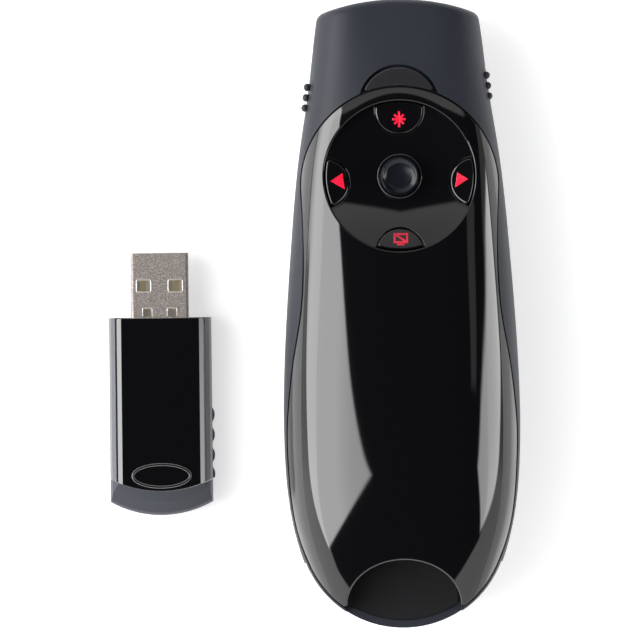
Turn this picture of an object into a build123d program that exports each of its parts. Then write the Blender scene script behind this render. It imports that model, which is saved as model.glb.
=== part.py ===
from build123d import *
import math
import os

# Wireless presentation clicker with its USB receiver lying beside it.
# Millimetres. The handset rests on its feet at z = 0, its nose points to +Y,
# its keys face +Z, and the origin is the centre of its rest plane.

os.makedirs("parts", exist_ok=True)

# ------------------------------------------------------------ driving sizes

# Handset shell
SEAM_Z = 13.0            # height of the seam between the two housings
NOSE_TIP = 65.1          # front of the nose on the centre line
NOSE_RADIUS = 46.0       # curve of the nose seen from above
TAIL_TIP = -65.2
TAIL_RADIUS = 21.8       # curve of the tail seen from above
TAIL_MEET = -51.5        # where that curve runs into the flanks
PANEL_THICK = 1.6        # gloss panel and battery door
WALL = 2.4               # side and floor wall of the housings
ROOF = 3.3               # panel and its shelf together
PART_GAP = 0.15          # gap between fixed neighbouring covers
MOVE_GAP = 0.2           # gap round parts that move

# y, half width, top, bottom, squareness of the upper half
STATIONS = [
    (68.0, 14.3, 19.0, 7.6, 3.0),
    (60.0, 17.0, 22.1, 4.7, 3.0),
    (48.0, 18.45, 24.8, 2.2, 3.0),
    (34.0, 20.55, 27.3, 0.9, 3.0),
    (14.0, 22.5, 29.3, 0.75, 3.0),
    (-8.0, 23.95, 30.0, 0.75, 3.0),
    (-28.0, 24.25, 29.7, 0.75, 3.0),
    (-44.0, 22.55, 28.4, 1.5, 3.1),
    (-56.0, 18.3, 26.1, 5.8, 3.3),
    (-68.0, 13.0, 22.4, 12.2, 3.5),
]

# Gloss panel outline: round head, waist, then a line just inside the tail
HEAD_Y = 26.4
HEAD_RADIUS = 20.5
PANEL_SIDE = [(20.15, 8.0), (20.9, -1.0), (22.3, -9.0), (23.3, -17.0), (23.8, -24.0),
              (23.6, -32.0), (22.9, -40.0), (21.3, -47.2), (19.2, -52.5)]
PANEL_LOW = 18.2         # lowest edge of the panel

# Key dish in the panel
DISH_Y = 28.4
DISH_RADIUS = 15.6
DISH_RIM_Z = 25.5        # rim height on the centre line
DISH_SLOPE = math.degrees(math.atan(0.128))
DISH_DEPTH = 1.7
DISH_WALL = 1.5

# Keys
KEY_RADIUS = 4.9
KEY_RAISE = 0.35
KEY_CORNER = 0.6         # rounded ends of the lens
KEY_EDGE = 0.3           # rolled rim of a key
KEY_SKIRT = 1.8          # thickness of a key cap below the dish
KEY_FLANGE = 0.9         # how far the retaining flange reaches under the dish
KEY_CENTRES = {"laser": (0.0, 42.0), "back": (-15.4, 27.1),
               "forward": (15.4, 27.1), "blank": (0.0, 12.6)}
KEY_STEM = {"laser": (0.0, 40.3), "back": (-12.6, 27.3),
            "forward": (12.6, 27.3), "blank": (0.0, 15.2)}

GUIDES = {"laser": (2.75, 40.8), "back": (-13.0, 30.05),
          "forward": (13.0, 30.05), "blank": (-2.75, 14.7)}

# Thumbstick
STICK_TOP = 27.7
STICK_RADIUS = 4.6
STICK_PIVOT = 18.6
STICK_HOLE = 3.9         # hole in the floor of the dish

# Circuit board
BOARD_LOW = 14.8
BOARD_THICK = 1.2
BOARD_TOP = BOARD_LOW + BOARD_THICK
SWITCH_TOP = 18.5

# Receiver bay in the tail
BAY_HALF = 11.0
BAY_FLOOR = 15.0
BAY_CEILING = 24.4
BAY_END = -8.6
BAY_WALL = 0.8
SCOOP_HALF = 11.7
SCOOP_Y = -60.2
SCOOP_DEEP = 9.3

# Batteries, two AAA cells
CELL_RADIUS = 5.25
CELL_BODY = 43.5         # length without the raised contact
CELL_CAP = 1.0
CELL_Z = 8.45
CELL_X = 5.6
PLATE = 0.4              # contact plates
BOX_HALF = 11.3
BOX_FRONT = 7.6
BOX_BACK = -42.0
BOX_TOP = 13.75
SPRING_WIRE = 0.25       # radius of the wire
SPRING_RADIUS = 2.7
SPRING_TURNS = 4

# Battery door
DOOR_HALF = 12.4
DOOR_BACK = -44.5
DOOR_PIVOT_Y = 11.0
DOOR_PIVOT_Z = 2.9
DOOR_KNUCKLE = 2.4       # rounded front end of the door
PIN_RADIUS = 0.8

# Housing screws and feet
SCREWS = [(-13.2, 52.0), (13.2, 52.0), (-17.4, -34.0), (17.4, -34.0)]
SCREW_HEAD_Z = 5.4
BOARD_POSTS = [(-14.2, -3.5), (14.2, -3.5), (-12.6, 33.0), (12.6, 33.0)]
FEET = [(-11.0, 25.0), (11.0, 25.0), (-14.6, -29.0), (14.6, -29.0)]
FOOT_LONG, FOOT_WIDE = 13.0, 3.4

# Laser
LASER_Z = 10.4
LASER_RADIUS = 3.0
WINDOW_RADIUS = 2.5

# Side grips: y of the three ribs on each flank
RIBS = {"left": (42.8, 44.95, 47.1), "right": (44.9, 47.05, 49.2)}
RIB_RADIUS = 0.75

# Indicator window in front of the panel head
CRESCENT_Y = 43.1
CRESCENT_RADIUS = 8.3

# USB receiver
PLUG_WIDE = 12.0
PLUG_HIGH = 4.5
PLUG_SHEET = 0.3
PLUG_TIP = 13.1
REC_X = -50.05
REC_FRONT = -0.3
REC_BACK = -41.4
REC_HALF = 10.65
REC_HIGH = 9.0
REC_RADIUS = 21.6        # curve of the rear end seen from above
REC_WALL = 1.1
REC_SPLIT = 5.2          # height of the seam between base and cover
REC_SIDE = 1.25          # width of the base's flanks seen from above
REC_GROOVE = 0.4         # groove between a flank and the cover
CAP_RADIUS = 23.4        # curve of the cap's front edge
CAP_LINE = -36.5
OVAL_Y = -33.2           # raised oval that the thumb finds
OVAL_LONG, OVAL_WIDE = 5.95, 2.35
OVAL_BEAD = 0.28
BUMPS = [-20.6, -24.8, -29.0, -33.0]
PLUG_Z = 4.6


# ------------------------------------------------------------ small helpers

def block(x0, x1, y0, y1, z0, z1):
    """Box between two corners."""
    return Pos((x0 + x1) / 2, (y0 + y1) / 2, (z0 + z1) / 2) * Box(abs(x1 - x0), abs(y1 - y0), abs(z1 - z0))


def post(x, y, z0, z1, radius):
    """Upright round post."""
    return Pos(x, y, (z0 + z1) / 2) * Cylinder(radius, z1 - z0)


def rod_x(x0, x1, y, z, radius):
    """Round rod along X."""
    return Pos((x0 + x1) / 2, y, z) * Rot(0, 90, 0) * Cylinder(radius, abs(x1 - x0))


def rod_y(x, y0, y1, z, radius):
    """Round rod along Y."""
    return Pos(x, (y0 + y1) / 2, z) * Rot(90, 0, 0) * Cylinder(radius, abs(y1 - y0))


def slab(face, z0, z1):
    """Upright prism of a plan drawing."""
    return extrude(Pos(0, 0, z0) * face, z1 - z0)


def save(name, shape):
    """Write one piece to its own file."""
    solids = shape.solids()
    shape = solids[0] if len(solids) == 1 else Compound(children=list(solids))
    shape.label = name
    export_step(shape, "parts/" + name + ".step")


# ------------------------------------------------------------ shell surfaces

def ring(y, half, top, bottom, power, side, roof, floor):
    """Closed curve round the handset at one station."""
    points = []
    count = 12
    for k in range(count):
        angle = 2 * math.pi * k / count - math.pi / 2
        c, s = math.cos(angle), math.sin(angle)
        upper = s >= 0
        high = top - roof - SEAM_Z if upper else SEAM_Z - bottom - floor
        p = power if upper else 3.0
        reach = (abs(c / (half - side)) ** p + abs(s / high) ** p) ** (-1 / p)
        points.append(Vector(reach * c, y, SEAM_Z + reach * s))
    return Face(Wire([Edge.make_spline(points, periodic=True)]))


def plan(side):
    """Handset seen from above, only its nose and tail ends being exact."""
    nose = Pos(0, NOSE_TIP - NOSE_RADIUS) * Circle(NOSE_RADIUS - side)
    nose += Pos(0, -20) * Rectangle(120, 140)
    tail = Pos(0, TAIL_TIP + TAIL_RADIUS) * Circle(TAIL_RADIUS - side)
    tail += Pos(0, TAIL_MEET + 66) * Rectangle(120, 132)
    return nose & tail


def shell_solid(side, roof, floor):
    """The whole handset drawn smaller by the given wall."""
    sections = [ring(*station, side, roof, floor) for station in STATIONS]
    return loft(sections) & slab(plan(side), -5, 40)


outer = shell_solid(0, 0, 0)
outer = fillet([e for e in outer.edges() if e.bounding_box().min.Y > 58], 2.2)
under_panel = shell_solid(PANEL_THICK, PANEL_THICK, PANEL_THICK)
shelf_top = shell_solid(PANEL_THICK + PART_GAP, PANEL_THICK + PART_GAP, PANEL_THICK + PART_GAP)
cavity = shell_solid(WALL, ROOF, WALL)
skin = outer - under_panel


def panel_plan(grow):
    """Gloss panel seen from above, drawn larger by the given gap."""
    turn = math.radians(-4)
    tail_y = TAIL_TIP + TAIL_RADIUS
    start = (HEAD_RADIUS * math.cos(turn), HEAD_Y + HEAD_RADIUS * math.sin(turn))
    line = [start] + PANEL_SIDE
    reach = math.hypot(line[-1][0], line[-1][1] - tail_y)
    out = [(math.cos(turn), math.sin(turn))]
    for before, after in zip(line, line[2:]):
        along = (after[0] - before[0], after[1] - before[1])
        out.append((-along[1] / math.hypot(*along), along[0] / math.hypot(*along)))
    out.append((line[-1][0] / reach, (line[-1][1] - tail_y) / reach))
    points = [(p[0] + grow * n[0], p[1] + grow * n[1]) for p, n in zip(line, out)]
    (x0, y0), (x1, y1) = points[0], points[-1]
    head = ThreePointArc((-x0, y0), (0, HEAD_Y + HEAD_RADIUS + grow), (x0, y0))
    side = Spline(*points, tangents=[(out[0][1], -out[0][0]), (out[-1][1], -out[-1][0])])
    tail = ThreePointArc((x1, y1), (0, tail_y - reach - grow), (-x1, y1))
    return make_face([head, side, tail, mirror(side, Plane.YZ)])


def dish_ball(grow):
    """Large ball whose underside is the surface of the key dish."""
    ball_radius = (DISH_RADIUS ** 2 + DISH_DEPTH ** 2) / (2 * DISH_DEPTH)
    tilt = math.radians(DISH_SLOPE)
    lift = ball_radius - DISH_DEPTH
    centre = (0, DISH_Y + lift * math.sin(tilt), DISH_RIM_Z + lift * math.cos(tilt))
    return Pos(*centre) * Sphere(ball_radius + grow)


def scoop_plan(grow):
    """Half ellipse cut from the tail of the panel, open to the rear."""
    face = Pos(0, SCOOP_Y) * Ellipse(SCOOP_HALF + grow, SCOOP_DEEP + grow)
    return face + Pos(0, SCOOP_Y - 6) * Rectangle(2 * (SCOOP_HALF + grow), 12)


def key_plan(name, grow, wall_gap=0.3):
    """Lens shaped key: a circle cut by the wall of the dish."""
    face = Pos(*KEY_CENTRES[name]) * Circle(KEY_RADIUS + grow)
    return face & (Pos(0, DISH_Y) * Circle(DISH_RADIUS - wall_gap))


# ------------------------------------------------------------ gloss panel

def make_panel():
    """Shiny top cover with the key dish moulded in one piece."""
    cover = skin & slab(panel_plan(0), PANEL_LOW, 40)
    bowl = outer & post(0, DISH_Y, 10, 40, DISH_RADIUS + DISH_WALL) & dish_ball(DISH_WALL)
    cover = cover + bowl
    cover -= post(0, DISH_Y, 10, 40, DISH_RADIUS) & dish_ball(0)
    for name in KEY_CENTRES:
        cover -= slab(key_plan(name, MOVE_GAP, 0.0), 10, 40)
    cover -= post(0, DISH_Y, 10, 40, STICK_HOLE)
    return cover - slab(scoop_plan(0), 10, 40)


# ------------------------------------------------------------ keys

def key_outline(name):
    """Plan of a key cap with its two sharp ends rounded."""
    core = key_plan(name, -KEY_CORNER, 0.3 + KEY_CORNER)
    return Face(core.face().outer_wire().offset_2d(KEY_CORNER))


def make_key(name):
    """Key cap with a rolled rim, a flange under the dish and a stem to its switch."""
    cap = slab(key_outline(name), 15, 40) & dish_ball(KEY_SKIRT) - dish_ball(-KEY_RAISE)
    top = cap.faces().filter_by(GeomType.SPHERE).sort_by(Axis.Z)[-1]
    cap = fillet(top.edges(), KEY_EDGE)
    flange = slab(key_plan(name, KEY_FLANGE), 20.0, 40) - dish_ball(KEY_SKIRT)
    x, y = KEY_STEM[name]
    stem = post(x, y, SWITCH_TOP, 21.0, 1.5)
    return cap + flange + stem


def make_guide(name, key):
    """Red light guide set into the key from below, ending just under its top."""
    return (post(*GUIDES[name], 20.0, 35, 0.7) & key) - dish_ball(0.15)


# ------------------------------------------------------------ indicator window

def window_plan(grow):
    """Crescent between a circle and the head of the gloss panel."""
    return Pos(0, CRESCENT_Y) * Circle(CRESCENT_RADIUS + grow) - panel_plan(0.3 - grow)


# ------------------------------------------------------------ side grips

def grip_patch(way, grow):
    """Rounded patch of flank that carries the ribs, as a bar along X."""
    middle = RIBS["left" if way < 0 else "right"][1]
    face = Plane.YZ * Pos(middle, SEAM_Z) * RectangleRounded(7.6 + 2 * grow, 10.5 + 2 * grow, 2.4)
    return extrude(face, way * 30)


def make_grip(way):
    """Rubber inlay with three upright ribs."""
    pad = grip_patch(way, 0) & (outer - under_panel)
    reach = 18.75 if way > 0 else 19.15
    for y in RIBS["left" if way < 0 else "right"]:
        x = way * (reach - 0.12 * (y - 45))
        bar = post(x, y, SEAM_Z - 3.6, SEAM_Z + 3.6, RIB_RADIUS)
        bar += Pos(x, y, SEAM_Z - 3.6) * Sphere(RIB_RADIUS)
        bar += Pos(x, y, SEAM_Z + 3.6) * Sphere(RIB_RADIUS)
        pad += bar - under_panel
    return pad


# ------------------------------------------------------------ housings

def bay_space(grow):
    """Outer room taken by the receiver bay."""
    wall = BAY_WALL + grow
    return block(-BAY_HALF - wall, BAY_HALF + wall, -80, BAY_END + wall,
                 BAY_FLOOR - wall, BAY_CEILING + wall)


def make_upper():
    """Soft touch upper housing with the shelf that carries the gloss panel."""
    body = (outer & block(-40, 40, -80, 80, SEAM_Z, 40)) - cavity
    body -= slab(panel_plan(PART_GAP), PANEL_LOW - PART_GAP, 40) - shelf_top
    body -= slab(window_plan(0.1), 12, 40) - shelf_top
    body -= under_panel & block(-40, 40, -80, 80, 10, SEAM_Z + 1.4)
    bosses = [post(x, y, SEAM_Z + 0.2, 35, 2.8) & shelf_top for x, y in SCREWS]
    body += bosses
    cuts = [post(x, y, 10, 17, 1.0) for x, y in SCREWS]
    cuts.append(post(0, 48.9, 12, 40, 1.6))
    cuts.append(post(0, DISH_Y, 10, 40, DISH_RADIUS + DISH_WALL + PART_GAP))
    cuts.append(slab(scoop_plan(0.3), 20, 40))
    cuts.append(bay_space(PART_GAP))
    cuts += [grip_patch(way, 0.1) - shelf_top for way in (-1, 1)]
    return body - cuts


def make_lower():
    """Lower housing with battery tray, screw posts, board posts and laser cradle."""
    body = (outer & block(-40, 40, -80, 80, -5, SEAM_Z)) - cavity
    body += (shelf_top - cavity) & block(-40, 40, -80, 80, SEAM_Z, SEAM_Z + 1.2)
    inside = [block(-BOX_HALF - 1, BOX_HALF + 1, BOX_BACK - 1, BOX_FRONT + 1, 1, 14.0)]
    inside += [post(x, y, 0, SEAM_Z, 2.8) for x, y in SCREWS]
    inside += [post(x, y, 1, BOARD_LOW, 1.6) for x, y in BOARD_POSTS]
    inside += [block(-4.4, 4.4, y, y + 1.4, 1, LASER_Z) for y in (46.0, 55.0)]
    for way in (-1, 1):
        inside.append(rod_x(way * 12.9, way * 15.1, DOOR_PIVOT_Y, DOOR_PIVOT_Z, 2.1))
        inside.append(block(way * 12.9, way * 15.1, DOOR_PIVOT_Y - 2.1, DOOR_PIVOT_Y + 2.1,
                            0, DOOR_PIVOT_Z))
    body += [piece & shelf_top for piece in inside]
    door_side = DOOR_HALF + 0.25
    cuts = [block(-BOX_HALF, BOX_HALF, BOX_BACK, BOX_FRONT, -5, BOX_TOP)]
    cuts.append(block(-door_side, door_side, DOOR_BACK - 0.25, DOOR_PIVOT_Y, -5, 6) - shelf_top)
    cuts.append(rod_x(-door_side, door_side, DOOR_PIVOT_Y, DOOR_PIVOT_Z, DOOR_KNUCKLE + 0.25))
    cuts.append(block(-4.3, 4.3, DOOR_BACK - 0.25, BOX_BACK - 1, -5, 7))
    cuts.append(rod_x(-14.4, 14.4, DOOR_PIVOT_Y, DOOR_PIVOT_Z, PIN_RADIUS + 0.25))
    cuts.append(rod_y(0, 40, 61.2, LASER_Z, LASER_RADIUS + 0.05))
    cuts.append(rod_y(0, 61.2, 70, LASER_Z, WINDOW_RADIUS + 0.1))
    cuts += [post(x, y, -5, SCREW_HEAD_Z, 2.3) for x, y in SCREWS]
    cuts += [post(x, y, 0, 20, 1.15) for x, y in SCREWS]
    cuts += [grip_patch(way, 0.1) - shelf_top for way in (-1, 1)]
    cuts.append(bay_space(PART_GAP))
    return body - cuts


def make_door():
    """Battery door, hinged at its front end, with ears, pins and a latch tongue."""
    door = skin & block(-DOOR_HALF, DOOR_HALF, DOOR_BACK, DOOR_PIVOT_Y, -5, 5)
    front = rod_x(-DOOR_HALF, DOOR_HALF, DOOR_PIVOT_Y, DOOR_PIVOT_Z, DOOR_KNUCKLE)
    door += skin & front & block(-20, 20, DOOR_PIVOT_Y, 20, -5, DOOR_PIVOT_Z)
    for way in (-1, 1):
        door += rod_x(way * 10.0, way * 12.2, DOOR_PIVOT_Y, DOOR_PIVOT_Z, 1.9) & outer
        door += rod_x(way * 11.0, way * 14.2, DOOR_PIVOT_Y, DOOR_PIVOT_Z, PIN_RADIUS)
    door += block(-4, 4, DOOR_BACK + 0.2, DOOR_BACK + 1.1, 2, 6.2)
    for k in range(4):
        door -= rod_x(-6, 6, DOOR_BACK + 4.5 + 2.2 * k, 0.55, 0.7)
    return door


def make_feet():
    """Four long rubber feet under the housing."""
    feet = []
    for x, y in FEET:
        feet.append(slab(Pos(x, y) * Rot(0, 0, 90) * SlotOverall(FOOT_LONG, FOOT_WIDE), 0, 6) - outer)
    return Compound(children=[s for foot in feet for s in foot.solids()])


def make_screws():
    """Cross head screws that hold the housings together."""
    screws = []
    for x, y in SCREWS:
        screw = post(x, y, SCREW_HEAD_Z - 1.5, SCREW_HEAD_Z, 2.0) + post(x, y, SCREW_HEAD_Z, 16.5, 1.0)
        screw -= block(x - 1.1, x + 1.1, y - 0.25, y + 0.25, 0, SCREW_HEAD_Z - 0.8)
        screw -= block(x - 0.25, x + 0.25, y - 1.1, y + 1.1, 0, SCREW_HEAD_Z - 0.8)
        screws.append(screw)
    return Compound(children=[s for screw in screws for s in screw.solids()])


# ------------------------------------------------------------ receiver bay

def make_bay():
    """Black plastic pocket that holds the receiver, open at the tail and scoop."""
    bay = bay_space(0) & shelf_top
    bay -= block(-BAY_HALF, BAY_HALF, -80, BAY_END, BAY_FLOOR, BAY_CEILING)
    bay -= slab(scoop_plan(0.3), BAY_CEILING - 0.5, 40)
    return bay - rod_y(0, BAY_END - 1, BAY_END + 2, 18.0, 0.95)


# ------------------------------------------------------------ thumbstick

def make_stick_cap():
    """Rubber cap with a raised rim and a hollow top."""
    cap = Pos(0, DISH_Y) * Circle(STICK_RADIUS)
    cap = slab(cap, STICK_TOP - 2.1, STICK_TOP)
    cap = chamfer(cap.edges().group_by(Axis.Z)[0], 0.9)
    cap = fillet(cap.edges().group_by(Axis.Z)[-1], 0.55)
    cap += post(0, DISH_Y, 21.6, STICK_TOP - 1.8, 2.4)
    cap -= Pos(0, DISH_Y, STICK_TOP + 5.6) * Sphere(6.5)
    return cap - post(0, DISH_Y, 15, 23.4, 1.1)


def make_stick_case():
    """Square can of the thumbstick module, open at the top."""
    case = block(-4.8, 4.8, DISH_Y - 4.8, DISH_Y + 4.8, BOARD_TOP, 20.6)
    case -= block(-4.2, 4.2, DISH_Y - 4.2, DISH_Y + 4.2, BOARD_TOP + 0.3, 20.1)
    case -= post(0, DISH_Y, 18, 22, 3.3)
    return case - rod_x(-5, 5, DISH_Y, STICK_PIVOT, 0.75)


def make_stick_yoke():
    """Outer gimbal ring that turns on pins along X."""
    yoke = post(0, DISH_Y, STICK_PIVOT - 0.9, STICK_PIVOT + 0.9, 3.7)
    yoke -= post(0, DISH_Y, 15, 22, 2.75)
    for way in (-1, 1):
        yoke += rod_x(way * 3.4, way * 4.7, DISH_Y, STICK_PIVOT, 0.5)
    return yoke - rod_y(0, DISH_Y - 5, DISH_Y + 5, STICK_PIVOT, 0.65)


def make_stick_cross():
    """Inner gimbal disc that turns on pins along Y and guides the shaft."""
    cross = post(0, DISH_Y, STICK_PIVOT - 0.6, STICK_PIVOT + 0.6, 2.45)
    cross += rod_y(0, DISH_Y - 3.3, DISH_Y + 3.3, STICK_PIVOT, 0.4)
    return cross - post(0, DISH_Y, 15, 22, 1.3)


# ------------------------------------------------------------ circuit board

def make_board():
    """Main circuit board in the front half of the handset."""
    rim = [(-15.6, -7.2), (15.6, -7.2), (15.6, 28), (14.6, 46), (13.2, 57.5),
           (-13.2, 57.5), (-14.6, 46), (-15.6, 28)]
    face = make_face(Polyline(*rim, close=True))
    for x, y in SCREWS[:2]:
        face -= Pos(x, y) * Circle(3.4)
    return slab(face, BOARD_LOW, BOARD_TOP)


def make_switch(name):
    """Square key switch with a bore for its plunger."""
    x, y = KEY_STEM[name]
    return block(x - 2.25, x + 2.25, y - 2.25, y + 2.25, BOARD_TOP, 18.0) - post(x, y, 16, 20, 1.3)


def make_lights():
    """Small lamps beside the switches that light the key signs."""
    lamps = []
    for x, y in GUIDES.values():
        lamps.append(block(x - 0.4, x + 0.4, y - 0.4, y + 0.4, BOARD_TOP, BOARD_TOP + 0.6))
    return Compound(children=[s for lamp in lamps for s in lamp.solids()])


def make_passives():
    """Rows of small capacitors and resistors on the board."""
    parts = []
    for k in range(5):
        parts.append(block(-10.4 + 2.4 * k, -9.0 + 2.4 * k, 6.4, 7.1, BOARD_TOP, BOARD_TOP + 0.6))
        parts.append(block(4.6, 6.0, -4.6 + 2.2 * k, -3.9 + 2.2 * k, BOARD_TOP, BOARD_TOP + 0.6))
    return Compound(children=[s for part in parts for s in part.solids()])


# ------------------------------------------------------------ batteries

def cell_ends(way):
    """Rear and front end of a cell whose raised contact points along way."""
    if way > 0:
        front = BOX_FRONT - PLATE - CELL_CAP
        return front - CELL_BODY, front
    back = BOX_BACK + PLATE + CELL_CAP
    return back, back + CELL_BODY


def make_cell(x, way):
    """AAA cell, its positive contact toward way."""
    back, front = cell_ends(way)
    cell = rod_y(x, back, front, CELL_Z, CELL_RADIUS)
    cell = fillet(cell.edges(), 0.4)
    cap = (front, front + CELL_CAP) if way > 0 else (back - CELL_CAP, back)
    return cell + rod_y(x, *cap, CELL_Z, 1.9)


def make_spring(x, way):
    """Coil spring between the negative end of a cell and its plate."""
    back, front = cell_ends(way)
    start, end = (BOX_BACK + PLATE, back) if way > 0 else (front, BOX_FRONT - PLATE)
    room = end - start - 2 * SPRING_WIRE
    path = Helix(room / SPRING_TURNS, room, SPRING_RADIUS)
    wire = sweep(Plane(origin=path @ 0, z_dir=path % 0) * Circle(SPRING_WIRE), path=path)
    return Pos(x, start + SPRING_WIRE, CELL_Z) * Rot(-90, 0, 0) * wire


# ------------------------------------------------------------ receiver

def receiver_solid(side):
    """Receiver body: rounded flanks, bevelled top, curved and sloping rear end."""
    low, high = side, REC_HIGH - side
    half = REC_HALF - side
    flank = [(half - 1.2, low), (half, low + 1.2), (half, REC_SPLIT), (half - 0.45, 7.0 - side),
             (half - REC_SIDE, high - 0.8), (half - 1.75, high - 0.45), (half - 2.55, high)]
    profile = flank + [(-x, z) for x, z in reversed(flank)]
    bar = extrude(Plane.XZ * Pos(REC_X, 0) * make_face(Polyline(*profile, close=True)), 45)
    bar &= block(-80, 0, -45, REC_FRONT - side, -1, 12)
    rear = REC_RADIUS - side
    slope = [(0, low), (rear - 1.4, low), (rear, low + 2.0), (rear, REC_SPLIT), (rear - 0.5, 6.1),
             (rear - 2.9, high - 1.1), (rear - 5.0, high), (0, high)]
    disc = revolve(Plane.XZ * make_face(Polyline(*slope, close=True)), Axis.Z)
    middle = REC_BACK + REC_RADIUS
    return bar & (Pos(REC_X, middle) * disc + block(-80, 0, middle, 5, low, high))


def make_plug_shell():
    """Folded sheet shell of the USB plug, with windows and base notches."""
    start = REC_FRONT - 5
    shell = block(REC_X - PLUG_WIDE / 2, REC_X + PLUG_WIDE / 2, start, PLUG_TIP,
                  PLUG_Z - PLUG_HIGH / 2, PLUG_Z + PLUG_HIGH / 2)
    shell = fillet(shell.edges().filter_by(Axis.Y), 0.6)
    shell -= block(REC_X - PLUG_WIDE / 2 + PLUG_SHEET, REC_X + PLUG_WIDE / 2 - PLUG_SHEET,
                   start - 1, PLUG_TIP + 1,
                   PLUG_Z - PLUG_HIGH / 2 + PLUG_SHEET, PLUG_Z + PLUG_HIGH / 2 - PLUG_SHEET)
    for way in (-1, 1):
        x = REC_X + way * 3.3
        shell -= block(x - 1.5, x + 1.5, 5.0, 7.6, 0, 9)
        x = REC_X + way * 2.57
        shell -= block(x - 1.0, x + 1.0, -0.1, 1.7, PLUG_Z, 9)
    return shell


receiver_outer = receiver_solid(0)
receiver_inner = receiver_solid(REC_WALL)
PLUG_ROOM = block(REC_X - PLUG_WIDE / 2 - 0.05, REC_X + PLUG_WIDE / 2 + 0.05, REC_FRONT - 5.05, 5,
                  PLUG_Z - PLUG_HIGH / 2 - 0.05, PLUG_Z + PLUG_HIGH / 2 + 0.05)


def cap_front(gap):
    """Everything in front of the curved edge of the cap."""
    return post(REC_X, CAP_LINE + CAP_RADIUS, -1, 12, CAP_RADIUS - gap)


def cover_room(gap):
    """Room of the cover above the seam, between the two flanks."""
    half = REC_HALF - REC_SIDE - REC_GROOVE + gap
    return block(REC_X - half, REC_X + half, -45, 5, REC_SPLIT, 12)


def make_receiver_base():
    """Grey lower half whose flanks rise beside the cover, with finger bumps on one side."""
    base = (receiver_outer & cap_front(0.1)) - cover_room(REC_GROOVE)
    for y in BUMPS:
        base += post(REC_X + REC_HALF - 1.9, y, 1.2, REC_SPLIT, 2.4) & cap_front(0.1)
    return base - receiver_inner - PLUG_ROOM


def make_receiver_cap():
    """Matte rear end of the receiver."""
    return receiver_outer - cap_front(0) - receiver_inner


def make_receiver_cover():
    """Glossy upper half with a raised oval near its rear end."""
    cover = (receiver_outer & cap_front(0.1) & cover_room(0)) - receiver_inner
    oval = Ellipse(OVAL_LONG, OVAL_WIDE).edge()
    bead = sweep(Plane(origin=oval @ 0, z_dir=oval % 0) * Circle(OVAL_BEAD), path=oval)
    cover += Pos(REC_X, OVAL_Y, REC_HIGH) * bead
    return cover - PLUG_ROOM


# ------------------------------------------------------------ write every piece

panel = make_panel()
save("gloss_panel", panel)
save("upper_housing", make_upper())
save("lower_housing", make_lower())
save("battery_door", make_door())
save("indicator_window", slab(window_plan(0), 12, 40) & skin)
save("left_side_grip", make_grip(-1))
save("right_side_grip", make_grip(1))
save("foot_pads", make_feet())
save("housing_screws", make_screws())
save("receiver_bay", make_bay())

for key in KEY_CENTRES:
    cap = make_key(key)
    guide = make_guide(key, cap)
    save(key + "_key", cap - guide)
    save(key + "_light_guide", guide)
    x, y = KEY_STEM[key]
    save(key + "_plunger", post(x, y, 16.6, SWITCH_TOP, 1.1))
    save(key + "_switch", make_switch(key))

save("stick_cap", make_stick_cap())
save("stick_shaft", post(0, DISH_Y, 17.0, 23.4, 1.1))
save("stick_case", make_stick_case())
save("stick_yoke", make_stick_yoke())
save("stick_cross", make_stick_cross())

save("main_board", make_board())
save("key_lights", make_lights())
save("board_passives", make_passives())
save("controller_chip", block(4, 10, 8, 14, BOARD_TOP, BOARD_TOP + 1.0))
save("radio_can", block(-9.5, -2.5, 48, 56, BOARD_TOP, BOARD_TOP + 1.8))
save("crystal", block(-1.6, 1.6, 10, 11.3, BOARD_TOP, BOARD_TOP + 0.8))
save("indicator_light", block(-0.8, 0.8, 48.4, 49.4, BOARD_TOP, BOARD_TOP + 0.7))

barrel = rod_y(0, 43.5, 59.4, LASER_Z, LASER_RADIUS) - rod_y(0, 50, 60, LASER_Z, 2.2)
save("laser_barrel", barrel)
save("laser_lens", rod_y(0, 57.6, 58.6, LASER_Z, 2.2))
save("laser_board", block(-3.2, 3.2, 42.3, 43.5, 7.4, 13.4))
save("nose_window", rod_y(0, 61.2, 70, LASER_Z, WINDOW_RADIUS) & slab(plan(0.05), 0, 30))

save("bay_switch", block(-2.5, 2.5, -7.0, -2.6, BOARD_TOP, 19.6) - rod_y(0, -8, -3.2, 18.0, 0.95))
save("bay_plunger", rod_y(0, -11.2, -5.0, 18.0, 0.7))

save("battery_1", make_cell(-CELL_X, 1))
save("battery_2", make_cell(CELL_X, -1))
springs = make_spring(-CELL_X, 1).solids() + make_spring(CELL_X, -1).solids()
save("battery_springs", Compound(children=list(springs)))
plates = [block(-10.6, 10.6, BOX_BACK, BOX_BACK + PLATE, 4.2, 12.6)]
plates += [block(way * 0.8, way * 10.6, BOX_FRONT - PLATE, BOX_FRONT, 4.2, 12.6) for way in (-1, 1)]
save("battery_plates", Compound(children=[s for plate in plates for s in plate.solids()]))

save("receiver_plug", make_plug_shell())
save("receiver_insert", block(REC_X - 5.6, REC_X + 5.6, REC_FRONT - 4.5, PLUG_TIP - 0.6,
                              PLUG_Z - 1.9, PLUG_Z))
contacts = [block(REC_X + x - 0.5, REC_X + x + 0.5, 1.0, 11.2, PLUG_Z, PLUG_Z + 0.15)
            for x in (-3.5, -1.0, 1.0, 3.5)]
save("receiver_contacts", Compound(children=[s for contact in contacts for s in contact.solids()]))
save("receiver_board", block(REC_X - 8.2, REC_X + 8.2, -34, REC_FRONT - 5.4, 3.4, 4.4))
save("receiver_chip", block(REC_X - 2.5, REC_X + 2.5, -20, -15, 4.4, 5.3))
save("receiver_crystal", block(REC_X - 1.6, REC_X + 1.6, -26, -24.7, 4.4, 5.2))
save("receiver_base", make_receiver_base())
save("receiver_cap", make_receiver_cap())
save("receiver_cover", make_receiver_cover())
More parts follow.
